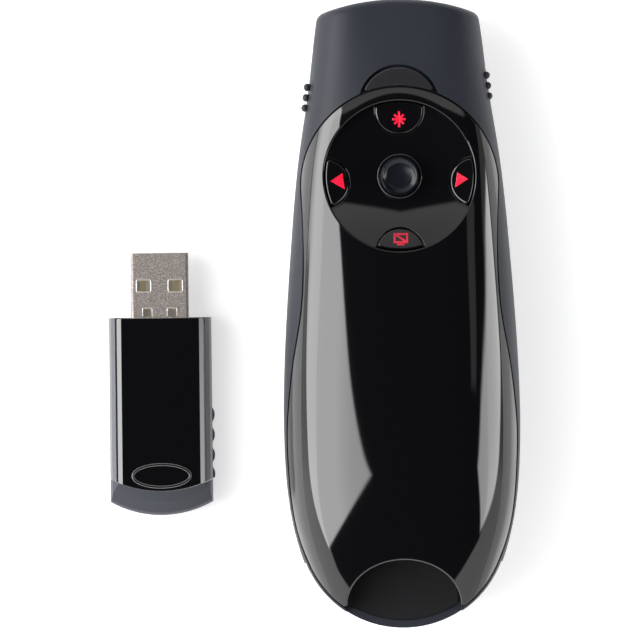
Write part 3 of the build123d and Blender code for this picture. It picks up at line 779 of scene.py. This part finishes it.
# %% Gloss panel
FINE = 0.4
PANEL_THICK, PANEL_SEAM, PANEL_DROP, DISH_DROP = 1.6, 0.12, 1.0, 2.2
PANEL_ROLL, DISH_ROLL, SCOOP_ROLL = 0.22, 0.3, 0.35
PANEL_ROWS, PANEL_SHARES, PANEL_ARC = (-62.8, 47.6), (0.262, 0.738), 58
CROWN_REACH, CROWN_TILT, CROWN_START, CROWN_BLEND = 2.4, 0.09, 24, 14
panel_grid = shell_grid(np.arange(*PANEL_ROWS, FINE),
                        np.linspace(*PANEL_SHARES, int(PANEL_ARC / FINE)))
from_rim = np.clip(1 + panel_edge(panel_grid) / CROWN_REACH, 0, 1)
at_head = np.clip((panel_grid[..., 1] - CROWN_START) / CROWN_BLEND, 0, 1)
panel_grid[..., 2] -= CROWN_REACH * CROWN_TILT / 2 * from_rim ** 2 * at_head
panel_rims = [(lambda p: panel_edge(p) + PANEL_SEAM, PANEL_ROLL, PANEL_DROP),
              (outside_of(circle(0, DISH_Y, DISH_RADIUS)), DISH_ROLL, DISH_DROP),
              (outside_of(scoop_edge), SCOOP_ROLL, PANEL_DROP)]
panel = Moulding(panel_grid, grid_normals(panel_grid), panel_rims, PANEL_THICK)
panel_piece = panel.build("gloss_panel_top", finishes["piano_black"], "handset", "piano_black")
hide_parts("gloss_panel")

# %% The dish as part of a ball
KEY_RADIUS, KEY_GAP, INTO_WALL = 4.9, 0.2, 0.05
KEY_CENTRES = {"laser": (0.0, 42.0), "back": (-15.4, 27.1),
               "forward": (15.4, 27.1), "blank": (0.0, 12.6)}
dish_slope = math.atan(DISH_SLOPE)
dish_axis = np.array([0.0, math.sin(dish_slope), math.cos(dish_slope)])
BALL = (DISH_RADIUS ** 2 + DISH_DEPTH ** 2) / (2 * DISH_DEPTH)
BALL_CENTRE = np.array([0.0, DISH_Y, DISH_RIM_Z]) + (BALL - DISH_DEPTH) * dish_axis


def ball_grid(x, y, raised=0.0):
    """Points and normals of the dish surface, raised towards the middle of its ball."""
    reach, off_x, off_y = BALL - raised, x - BALL_CENTRE[0], y - BALL_CENTRE[1]
    z = BALL_CENTRE[2] - np.sqrt(reach ** 2 - off_x ** 2 - off_y ** 2)
    points = np.stack([x, y, z], axis=-1)
    return points, (BALL_CENTRE - points) / reach


def key_hole(name):
    """Lens shaped line of a key: a circle cut by the wall of the dish."""
    return shared(circle(*KEY_CENTRES[name], KEY_RADIUS + KEY_GAP),
                  circle(0, DISH_Y, DISH_RADIUS + INTO_WALL))


print("ball radius", round(BALL, 2), "mm")

# %% Key dish
DISH_WALL, DISH_ARC, LIP_START, PAST_HOLE, PAST_RIM = 1.5, 98, 12.9, 0.6, 0.5
KEY_ROLL, KEY_DROP, STICK_ROLL, STICK_DROP = 0.16, 1.1, 0.3, 1.0
OVERLAP, WALL_ROLL, WALL_DROP = 0.04, 0.02, 1.2
reach, turn = np.meshgrid(np.arange(STICK_HOLE - PAST_HOLE, DISH_RADIUS + PAST_RIM, FINE),
                          np.linspace(0, 2 * math.pi, int(DISH_ARC / FINE)), indexing="ij")
dish_points, dish_normals = ball_grid(reach * np.cos(turn), DISH_Y + reach * np.sin(turn))
# past the start of the lip the shine stops turning, so the rim shows an even line
lean_out = dish_normals - (dish_normals @ dish_axis)[..., None] * dish_axis
steep = np.linalg.norm(lean_out, axis=-1, keepdims=True)
flatter = np.minimum(1, LIP_START / BALL / np.maximum(steep, 1e-9))
dish_normals = dish_normals + lean_out * (flatter - 1)
dish_rims = [(outside_of(key_hole(name)), KEY_ROLL, KEY_DROP) for name in KEY_CENTRES]
dish_rims += [(outside_of(circle(0, DISH_Y, STICK_HOLE)), STICK_ROLL, STICK_DROP),
              (circle(0, DISH_Y, DISH_RADIUS + OVERLAP), WALL_ROLL, WALL_DROP)]
dish = Moulding(dish_points, dish_normals, dish_rims, DISH_WALL)
dish.build("key_dish", finishes["piano_black"], "handset", "piano_black")

# %% [markdown]
# ## Indicator window
# Behind the panel's head sits a smoked crescent over the indicator lamp. It could be a flat pane,
# but it continues the shell's surface, so it is cut from the same grid as the panel: its outer
# line is a circle and its inner line the panel's outline. Its rolled edge and the dark seam round
# it draw it.

# %% Indicator window
CRESCENT_Y, CRESCENT_RADIUS, CRESCENT_THICK, CRESCENT_DROP = 43.1, 7.8, 1.0, 0.5
CRESCENT_ROWS, CRESCENT_SHARES, CRESCENT_ARC, CRESCENT_SEAM = (43.0, 52.6), (0.40, 0.60), 50, 0.3
CRESCENT_ROLL, SEAM_ROLL = 0.3, 0.15
crescent_grid = shell_grid(np.arange(*CRESCENT_ROWS, FINE / 2),
                           np.linspace(*CRESCENT_SHARES, int(CRESCENT_ARC / FINE)))
crescent_rims = [(circle(0, CRESCENT_Y, CRESCENT_RADIUS), CRESCENT_ROLL, CRESCENT_DROP),
                 (lambda p: CRESCENT_SEAM - panel_edge(p), SEAM_ROLL, CRESCENT_DROP)]
crescent = Moulding(crescent_grid, grid_normals(crescent_grid), crescent_rims, CRESCENT_THICK)
crescent_piece = crescent.build("crescent_window", finishes["smoke_window"],
                                "handset", "smoke_window")
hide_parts("indicator_window")

# %% [markdown]
# ## Thumbstick cap and its ring
# The cap is turned round one axis, so it is drawn as a profile and spun: a stem over the shaft, a
# rounded rim for the thumb and a hollow top. A thin polished ring lines the hole in the dish.
# Spinning a smooth curve keeps the soft highlight on the rim even, which a fillet cut in a solid
# doesn't.


# %% A round bar along a path
def tube(path, radius, closed, sides=10):
    """Vertices and faces of a round bar bent along a path of points in mm."""
    path, count = np.asarray(path, float), len(path)
    ahead, behind = np.roll(path, -1, axis=0), np.roll(path, 1, axis=0)
    if not closed:
        ahead[-1], behind[0] = path[-1], path[0]
    along = (ahead - behind) / np.linalg.norm(ahead - behind, axis=1, keepdims=True)
    sideways = np.cross(along, (0.0, 0.0, 1.0))
    sideways /= np.linalg.norm(sideways, axis=1, keepdims=True)
    up = np.cross(sideways, along)
    angles = np.linspace(0, 2 * math.pi, sides + 1)[:-1]
    vertices = [p + radius * (math.cos(a) * c + math.sin(a) * u)
                for p, c, u in zip(path, sideways, up) for a in angles]
    faces = []
    for k in range(count if closed else count - 1):
        a, b = k * sides, (k + 1) % count * sides
        faces += [(a + i, a + (i + 1) % sides, b + (i + 1) % sides, b + i) for i in range(sides)]
    if not closed:
        faces += [tuple(range(sides))[::-1], tuple(range((count - 1) * sides, count * sides))]
    return vertices, faces


print("a bar of two points has", len(tube([(0, 0, 0), (1, 0, 0)], 0.1, False)[1]), "faces")

# %% A profile spun round an axis
SPIN_STEPS = 96
full_turn = np.linspace(0, 2 * math.pi, SPIN_STEPS + 1)[:-1]


def spun(profile, axis):
    """Closed solid of revolution; the profile of (radius, height) starts and ends on the axis."""
    ring, count = profile[1:-1], len(profile) - 2
    vertices, faces = [], []
    for k in range(SPIN_STEPS):
        c, s = math.cos(2 * math.pi * k / SPIN_STEPS), math.sin(2 * math.pi * k / SPIN_STEPS)
        vertices += [(axis[0] + r * c, axis[1] + r * s, z) for r, z in ring]
    vertices += [(*axis, profile[0][1]), (*axis, profile[-1][1])]
    first, last = len(vertices) - 2, len(vertices) - 1
    for k in range(SPIN_STEPS):
        a, b = k * count, (k + 1) % SPIN_STEPS * count
        faces += [(a + i, b + i, b + i + 1, a + i + 1) for i in range(count - 1)]
        faces += [(first, b, a), (last, a + count - 1, b + count - 1)]
    return vertices, faces


def rolled_corner(before, corner, after, roll, steps):
    """Points that round one corner of a path, beginning and ending a roll away from it."""
    corner = np.array(corner)
    a, b = before - corner, after - corner
    a, b = a / np.linalg.norm(a) * roll, b / np.linalg.norm(b) * roll
    return [tuple(corner + a * (1 - t) ** 2 + b * t ** 2) for t in np.linspace(0, 1, steps)]


print("spun in", SPIN_STEPS, "steps")

# %% Thumbstick cap
PROFILE_STEPS = 7
# each corner: radius, height, roll
CAP_CORNERS = [(0, 23.4, 0), (1.12, 23.4, 0.1), (1.12, 21.6, 0.1), (2.4, 21.6, 0.3),
               (2.4, 25.5, 0.3), (3.2, 25.5, 0.3), (3.98, 26.3, 0.4), (3.95, 27.5, 0.6),
               (3.5, 27.76, 0.3), (2.85, 27.16, 0.42), (1.5, 26.98, 0.6), (0, 26.95, 0)]
stops = np.array(CAP_CORNERS)
profile = [tuple(stops[0, :2])]
for before, corner, after in zip(stops, stops[1:], stops[2:]):
    profile += rolled_corner(before[:2], corner[:2], after[:2], corner[2], PROFILE_STEPS)
profile.append(tuple(stops[-1, :2]))
cap_piece = new_piece("thumb_cap", *spun(profile, (0, DISH_Y)), finishes["stick_rubber"],
                      "stick", "grip_rubber")
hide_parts("stick_cap")

# %% Ring round the thumbstick
RING_RADIUS, RING_TUBE = 4.5, 0.11
ring_path, _ = ball_grid(RING_RADIUS * np.cos(full_turn),
                         DISH_Y + RING_RADIUS * np.sin(full_turn))
new_piece("stick_ring", *tube(ring_path, RING_TUBE, True), finishes["ring_black"],
          "handset", "piano_black")

# %% [markdown]
# ## The receiver's cover and trims
# The cover is a flat polished plate with a narrow facet down each side, and the facets catch the
# soft boxes as two bright lines. A bead laid round an ellipse tells the thumb where to pull. The
# windows of the plug have a rolled rim where the press punched the sheet, drawn as thin bars bent
# round them.

# %% Receiver cover
REC_X, REC_TOP, CAP_LINE, CAP_RADIUS = -50.05, 9.0, -36.5, 23.4
FACET_START, FACET_END, FACET_TILT, CREASE = 8.1, 9.0, math.radians(23.5), 0.06
COVER_ROWS, COVER_FRONT, COVER_THICK = (-37.0, 0.2, 0.3), -0.4, 0.9
SIDE_WALL, REAR_WALL, CAP_GAP = 2.4, 2.0, 0.1
SIDE_ROLL, FRONT_ROLL, REAR_ROLL = 0.08, 0.12, 0.1
flat_columns, facet_columns = np.linspace(0, 7.9, 20), np.linspace(8.3, 9.3, 6)
half_columns = np.concatenate([flat_columns, [8.04, 8.07, 8.1, 8.13, 8.16], facet_columns])
y, x = np.meshgrid(np.arange(*COVER_ROWS), np.concatenate([-half_columns[:0:-1], half_columns]),
                   indexing="ij")
past_crease = np.abs(x) - FACET_START
fall = np.maximum(past_crease, 0) * math.tan(FACET_TILT)
tilt = np.sign(x) * FACET_TILT * np.clip(past_crease / CREASE + 0.5, 0, 1)
cover_grid = np.stack([REC_X + x, y, REC_TOP - fall], axis=-1)
cover_normals = np.stack([np.sin(tilt), 0 * x, np.cos(tilt)], axis=-1)
cover_rims = [(lambda p: np.abs(p[..., 0] - REC_X) - FACET_END, SIDE_ROLL, SIDE_WALL),
              (lambda p: p[..., 1] - COVER_FRONT, FRONT_ROLL, SIDE_WALL),
              (circle(REC_X, CAP_LINE + CAP_RADIUS, CAP_RADIUS - CAP_GAP), REAR_ROLL, REAR_WALL)]
cover = Moulding(cover_grid, cover_normals, cover_rims, COVER_THICK)
cover_piece = cover.build("receiver_top", finishes["cover_black"], "receiver", "piano_black")
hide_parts("receiver_cover")

# %% Thumb bead
OVAL_Y, OVAL_LONG, OVAL_WIDE, BEAD_LIFT, BEAD_TUBE = -33.2, 5.95, 2.35, 0.02, 0.27
oval = [(REC_X + OVAL_LONG * math.cos(a), OVAL_Y + OVAL_WIDE * math.sin(a), REC_TOP + BEAD_LIFT)
        for a in full_turn]
bead_piece = new_piece("thumb_bead", *tube(oval, BEAD_TUBE, True), finishes["piano_black"],
                       "receiver", "piano_black")

# %% Rims of the plug's windows
PLUG_TOP, RIM_ROLL, RIM_TUBE, RIM_STEPS, RIM_SIDES = 6.85, 0.4, 0.13, 6, 8
WINDOW_X, WINDOW_HALF, WINDOW_LOW, WINDOW_HIGH = 3.3, 1.5, 5.0, 7.6
NOTCH_X, NOTCH_HALF, NOTCH_DEEP = 2.57, 1.0, 1.7


def plug_path(corners, closed):
    """Path in mm on top of the plug through corners in plan, each of them rounded."""
    points, ends = [], () if closed else (0, len(corners) - 1)
    for k, here in enumerate(corners):
        before, after = corners[k - 1], corners[(k + 1) % len(corners)]
        points += [here] if k in ends else rolled_corner(before, here, after, RIM_ROLL, RIM_STEPS)
    return [(px, py, PLUG_TOP) for px, py in points]


rims = []
for way, side_name in ((-1, "left"), (1, "right")):
    left, right = (REC_X + way * WINDOW_X + s * WINDOW_HALF for s in (-1, 1))
    window = [(left, WINDOW_LOW), (right, WINDOW_LOW), (right, WINDOW_HIGH), (left, WINDOW_HIGH)]
    left, right = (REC_X + way * NOTCH_X + s * NOTCH_HALF for s in (-1, 1))
    notch = [(left, 0.0), (left, NOTCH_DEEP), (right, NOTCH_DEEP), (right, 0.0)]
    for kind, corners, closed in (("window", window, True), ("notch", notch, False)):
        rim = tube(plug_path(corners, closed), RIM_TUBE, closed, RIM_SIDES)
        rims.append(new_piece(side_name + "_" + kind + "_rim", *rim, finishes["bright_nickel"],
                              "receiver", "plug_nickel"))

# %% [markdown]
# ## Low heads on the nose screws
# Under the nose the shell curves up towards the flank, so a full screw head would stand proud of
# it. The two nose screws get low, narrow heads instead. A copy of the solid screws is reshaped:
# below the seat of the head, heights shrink towards the seat and the head shrinks towards its
# axis.

# %% Nose screws
SEAT, NOSE_SCREW_X, NOSE_SCREW_Y, SHANK = 5.4, 13.2, 52.0, 1.02
LOW_SHARE, NARROW_SHARE = 0.3, 0.72
screw_mesh = nodes["housing_screws"].data.copy()
for vertex in screw_mesh.vertices:
    x, y, z = vertex.co / MM
    if y > 0 and z < SEAT + 0.01:
        axis_x = math.copysign(NOSE_SCREW_X, x)
        off_x, off_y = x - axis_x, y - NOSE_SCREW_Y
        narrow = NARROW_SHARE if math.hypot(off_x, off_y) > SHANK else 1.0
        vertex.co = Vector((axis_x + off_x * narrow, NOSE_SCREW_Y + off_y * narrow,
                            SEAT - (SEAT - z) * LOW_SHARE)) * MM
screw_set = bpy.data.objects.new("case_screws", screw_mesh)
bpy.context.scene.collection.objects.link(screw_set)
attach(screw_set, "handset")
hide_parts("housing_screws")
print("case screws", len(screw_mesh.vertices), "vertices")

# %% [markdown]
# ## Keeping the receiver out of the handset's shine
# The two bodies lie a hand's width apart, each lit for itself. The flank of the handset would
# mirror the receiver as a dark smear, so the receiver's pieces are left out of mirror rays.

# %% Receiver out of mirror rays
RECEIVER_NODES = ("base", "board", "cap", "chip", "contacts", "crystal", "insert", "plug")
receiver_pieces = [nodes["receiver_" + part] for part in RECEIVER_NODES]
receiver_pieces += rims + [cover_piece, bead_piece]
for piece in receiver_pieces:
    piece.visible_glossy = False
print("left out of mirror rays", len(receiver_pieces))

# %% [markdown]
# ## The lit signs
# Each key carries a lit sign: a starburst for the laser, a triangle each for back and forward,
# and a struck-out screen for blanking. They are thin inlays that follow the key's hollow top, a
# few hundredths of a millimetre proud, so each is drawn flat as a polygon, cut fine and laid on
# the ball.


# %% Shapes of the signs
def bar(x, y, length, width, angle):
    """Flat bar about a point, its long side turned by an angle in degrees."""
    c, s = math.cos(math.radians(angle)), math.sin(math.radians(angle))
    corners = [(-length, -width), (length, -width), (length, width), (-length, width)]
    return [(x + (c * u - s * v) / 2, y + (s * u + c * v) / 2) for u, v in corners]


STAR_X, STAR_Y, STAR_MIDDLE, RAY_WIDTH = 0.0, 40.15, 0.72, 0.46
RAYS = [(3.3, 90), (2.75, 0), (2.75, 45), (2.75, -45)]
star = [bar(STAR_X, STAR_Y, length, RAY_WIDTH, angle) for length, angle in RAYS]
star.append([(STAR_X + STAR_MIDDLE * math.cos(a), STAR_Y + STAR_MIDDLE * math.sin(a))
             for a in np.linspace(0, 2 * math.pi, 13)[:-1]])
ARROW_BACK = [(-14.33, 27.47), (-11.36, 25.78), (-11.82, 29.13)]
ARROW_FORWARD = [(14.14, 27.63), (11.92, 29.02), (11.44, 25.91)]

SCREEN_X, SCREEN_Y, SCREEN_WIDE, SCREEN_HIGH, LINE = 0.1, 15.55, 3.0, 2.1, 0.42
to_top, to_side = (SCREEN_HIGH - LINE) / 2, (SCREEN_WIDE - LINE) / 2
screen = [bar(SCREEN_X, SCREEN_Y + s * to_top, SCREEN_WIDE, LINE, 0) for s in (-1, 1)]
screen += [bar(SCREEN_X + s * to_side, SCREEN_Y, SCREEN_HIGH, LINE, 90) for s in (-1, 1)]
screen += [bar(SCREEN_X, SCREEN_Y, 3.3, 0.4, -34), bar(SCREEN_X, SCREEN_Y - 1.32, 1.5, 0.34, 0),
           bar(SCREEN_X, SCREEN_Y - 1.1, 0.34, 0.4, 90)]
print("star of", len(star), "shapes, screen of", len(screen))

# %% Signs on the keys
KEY_RAISE, SIGN_LIFT = 0.35, 0.03
# each level of an inlay: its size, its height over the key
SIGN_LEVELS = [(1.0, -0.15), (1.0, SIGN_LIFT * 0.4), (0.94, SIGN_LIFT), (0.5, SIGN_LIFT)]


def on_key(flat, lift):
    """Points in plan laid over the raised top of a key."""
    points, normals = ball_grid(flat[:, 0], flat[:, 1], KEY_RAISE)
    return list(points + lift * normals)


def lay_on_key(name, shapes, finish, key):
    """Thin inlay made of flat convex shapes, laid on the raised top of a key."""
    vertices, faces = [], []
    for shape in shapes:
        outline = np.array(shape, float)
        centre, count, base = outline.mean(axis=0), len(outline), len(vertices)
        for size, lift in SIGN_LEVELS:
            vertices += on_key(centre + (outline - centre) * size, lift)
        vertices += on_key(centre[None], SIGN_LIFT)
        for level in range(len(SIGN_LEVELS) - 1):
            for k in range(count):
                a, b = (base + level * count + v for v in (k, (k + 1) % count))
                faces.append((a, b, b + count, a + count))
        top, tip = base + (len(SIGN_LEVELS) - 1) * count, len(vertices) - 1
        faces += [(top + k, top + (k + 1) % count, tip) for k in range(count)]
    new_piece(name, vertices, faces, finish, key, "red_guide", smooth=False)


lay_on_key("laser_sign", star, finishes["sign_bright"], "laser_key")
lay_on_key("back_sign", [ARROW_BACK], finishes["sign_bright"], "back_key")
lay_on_key("forward_sign", [ARROW_FORWARD], finishes["sign_bright"], "forward_key")
lay_on_key("blank_sign", screen, finishes["sign_soft"], "blank_key")

# %% [markdown]
# ## The table, the light and the camera
# The object lies on a white table and is seen from straight above. Gloss black shows the room
# rather than itself: a long soft box on its left and a narrower one on its right draw the two
# pale bands down the panel, and the dark ceiling between them keeps its middle black. The table
# is white to the camera and to mirrors, while its own surface still takes the soft shadow under
# the object.

# %% Table
low, high = solid_box
TABLE_REACH, TABLE_GLOW, TABLE_WHITE = 1.6, 0.55, (0.86, 0.86, 0.87, 1.0)
GLOW_DROP, DROP_PLACES = 0.5, (52.0, 70.0)


def white_table(name):
    finish = Finish(name)
    fibre = finish.noise(0.8, detail=4.0)
    paper = finish.node("ShaderNodeBsdfPrincipled", {},
                        {"Base Color": TABLE_WHITE, "Roughness": 0.7, "Specular IOR Level": 0.2,
                         "Normal": finish.bump(fibre, 0.01)}, "BSDF")
    lit = TABLE_GLOW - finish.ramp(finish.axis("X"), *DROP_PLACES) * GLOW_DROP
    white = finish.node("ShaderNodeEmission", {},
                        {"Color": (1, 1, 1, 1), "Strength": lit}, "Emission")
    camera_ray = finish.node("ShaderNodeLightPath", {}, {}, "Is Camera Ray")
    glossy, through = (Wire(finish, camera_ray.socket.node.outputs[ray])
                       for ray in ("Is Glossy Ray", "Is Transmission Ray"))
    seen = (camera_ray + glossy + through).at_most(1.0)
    both = finish.node("ShaderNodeAddShader", {}, {0: paper, 1: white}, "Shader")
    shown = finish.node("ShaderNodeMixShader", {}, {0: seen, 1: paper, 2: both}, "Shader")
    return finish.show(shown)


middle = np.array([low.x + high.x, low.y + high.y, 0]) / 2 / MM
corners = [middle + np.array([sx, sy, 0]) * TABLE_REACH / MM for sx, sy in
           ((-1, -1), (1, -1), (1, 1), (-1, 1))]
table = new_piece("table", corners, [(0, 1, 2, 3)], white_table("white_table"), smooth=False)
print("table", 2 * TABLE_REACH, "m wide")

# %% [markdown]
# ## The room that the black mirrors
# Area lamps would do, but a gloss panel shows their exact outlines, so the whole room is drawn on
# the world. A pale wall runs all round up to eye height, brighter behind, under a nearly black
# ceiling, and a card hangs high in front. A long soft box with a wing stands on the left, a
# shorter one with a faint strip beside it on the right. Each is a bright patch with straight
# sides. Its corners are places on a ceiling one metre above the object, across and along, and
# each side is the flat plane through the object and two corners.


# %% The room as seen from the object
class Room(Network):
    """The world in terms of the direction looked in: to the side, forward and up."""

    def __init__(self, name):
        super().__init__(bpy.data.worlds.new(name), "ShaderNodeOutputWorld")
        self.place = self.node("ShaderNodeTexCoord", {}, {}, "Generated")
        self.side, self.forward, self.rise = (self.axis(letter) for letter in "XYZ")

    def along(self, direction):
        return self.node("ShaderNodeVectorMath", {"operation": "DOT_PRODUCT"},
                         {0: self.place, 1: tuple(direction)}, "Value")

    def patch(self, corners, soft):
        """1 inside the patch of ceiling between the corners, 0 outside."""
        looks = [Vector((x, y, 1)).normalized() for x, y in corners]
        centre = sum(looks, Vector())
        inside = None
        for a, b in zip(looks, looks[1:] + looks[:1]):
            inward = a.cross(b).normalized()
            depth = self.along(inward if inward.dot(centre) > 0 else -inward)
            inside = depth if inside is None else inside.at_most(depth)
        return self.ramp(inside, 0.0, soft)


room = Room("room")
print("room", len(room.tree.nodes), "nodes")

# %% Walls, ceiling and card
CEILING, WALL_TOP, WALL_LIGHT, SIDE_DROP, BACK_LIGHT = 0.012, 0.58, 0.55, 0.3, 0.5
CORNER_DROP, WALL_SOFT, BACK_BLEND = 1.2, 0.02, 0.14
BACK_LEAN, BACK_TURN, BACK_SOFT = 0.72, 0.15, 0.03
CARD_BEND, CARD_REACH, CARD_EDGE, CARD_RISE = 0.18, 0.3, (0.435, 0.46), (0.5, 0.62)

wall_top = WALL_TOP - room.forward.at_least(0.0) * room.side.at_least(0.0) * CORNER_DROP
wall = room.ramp(wall_top - room.rise, -WALL_SOFT, WALL_SOFT)
behind = 0 - room.forward - room.rise * (BACK_LEAN - room.side * BACK_TURN)
wall = wall.at_least(room.ramp(behind, 0.0, BACK_SOFT))
at_back = room.ramp(0 - room.forward, 0.0, BACK_BLEND)
light = CEILING + wall * (WALL_LIGHT - room.side * SIDE_DROP + at_back * BACK_LIGHT)

card = room.forward + abs(room.side).at_most(CARD_REACH) * CARD_BEND
card = room.ramp(card, *CARD_EDGE) * room.ramp(room.rise, *CARD_RISE)
light = light + card * (1.0 - room.forward)
print("room", len(room.tree.nodes), "nodes")

# %% Soft boxes
LEFT_BOX = [(-0.08, -0.14), (-1.35, -0.77), (-40.0, 10.0), (-40.0, 11.8), (-0.62, 0.20)]
LEFT_WING = [(-0.57, 0.10), (-0.76, 0.60), (-40.0, 30.0), (-40.0, 4.0)]
RIGHT_BOX = [(0.735, -0.13), (1.17, -0.59), (40.0, 1.05), (40.0, 9.2), (1.16, 0.07), (0.95, 0.0)]
STRIP = [(0.62, -0.02), (0.79, -0.02), (1.30, 0.30), (0.86, 0.30)]
BOX_SOFT, RIGHT_SOFT = 0.02, 0.04
LEFT_LOW, LEFT_GAIN, LEFT_GAIN_TO, LEFT_LOSS, LEFT_LOSS_FROM = 1.7, 2.8, 0.35, 1.2, 0.86
RIGHT_LIGHT, RIGHT_FADE, STRIP_LIGHT = 4.8, 2.3, 0.26

left_box = room.patch(LEFT_BOX, BOX_SOFT).at_least(room.patch(LEFT_WING, BOX_SOFT))
left_light = LEFT_LOW + room.ramp(room.rise, 0.0, LEFT_GAIN_TO) * LEFT_GAIN \
    - room.ramp(room.rise, LEFT_LOSS_FROM, 1.0) * LEFT_LOSS
light = light + left_box * left_light
light = light + room.patch(RIGHT_BOX, RIGHT_SOFT) * (RIGHT_LIGHT - room.rise * RIGHT_FADE) \
    + room.patch(STRIP, BOX_SOFT) * STRIP_LIGHT
background = room.node("ShaderNodeBackground", {}, {"Color": light}, "Background")
bpy.context.scene.world = room.show(background)
print("room", len(room.tree.nodes), "nodes")

# %% [markdown]
# ## The camera
# The camera looks straight down from three metres. A long lens from far away draws the object
# almost without perspective, so its sides keep their true outline. The lens follows from the
# width that the picture spans at the height of the object's middle.

# %% Camera
PIXELS, PIXELS_PER_METRE = 630, 4815
CAMERA_HEIGHT, FOCUS_HEIGHT, SENSOR, FARTHEST = 3.0, 0.010, 36.0, 20
CAMERA_X, CAMERA_Y, CAMERA_TURN = -0.0178, -0.00013, -0.63
camera_data = bpy.data.cameras.new("camera")
camera = bpy.data.objects.new("camera", camera_data)
bpy.context.scene.collection.objects.link(camera)
seen_width = PIXELS / PIXELS_PER_METRE
camera_data.sensor_width = SENSOR
camera_data.lens = SENSOR * (CAMERA_HEIGHT - FOCUS_HEIGHT) / seen_width
camera_data.clip_end = FARTHEST
camera.location = (CAMERA_X, CAMERA_Y, CAMERA_HEIGHT)
camera.rotation_euler = (0, 0, math.radians(CAMERA_TURN))
bpy.context.scene.camera = camera
bpy.context.scene.view_settings.view_transform = "Standard"
print("lens", round(camera_data.lens), "mm")

# %% [markdown]
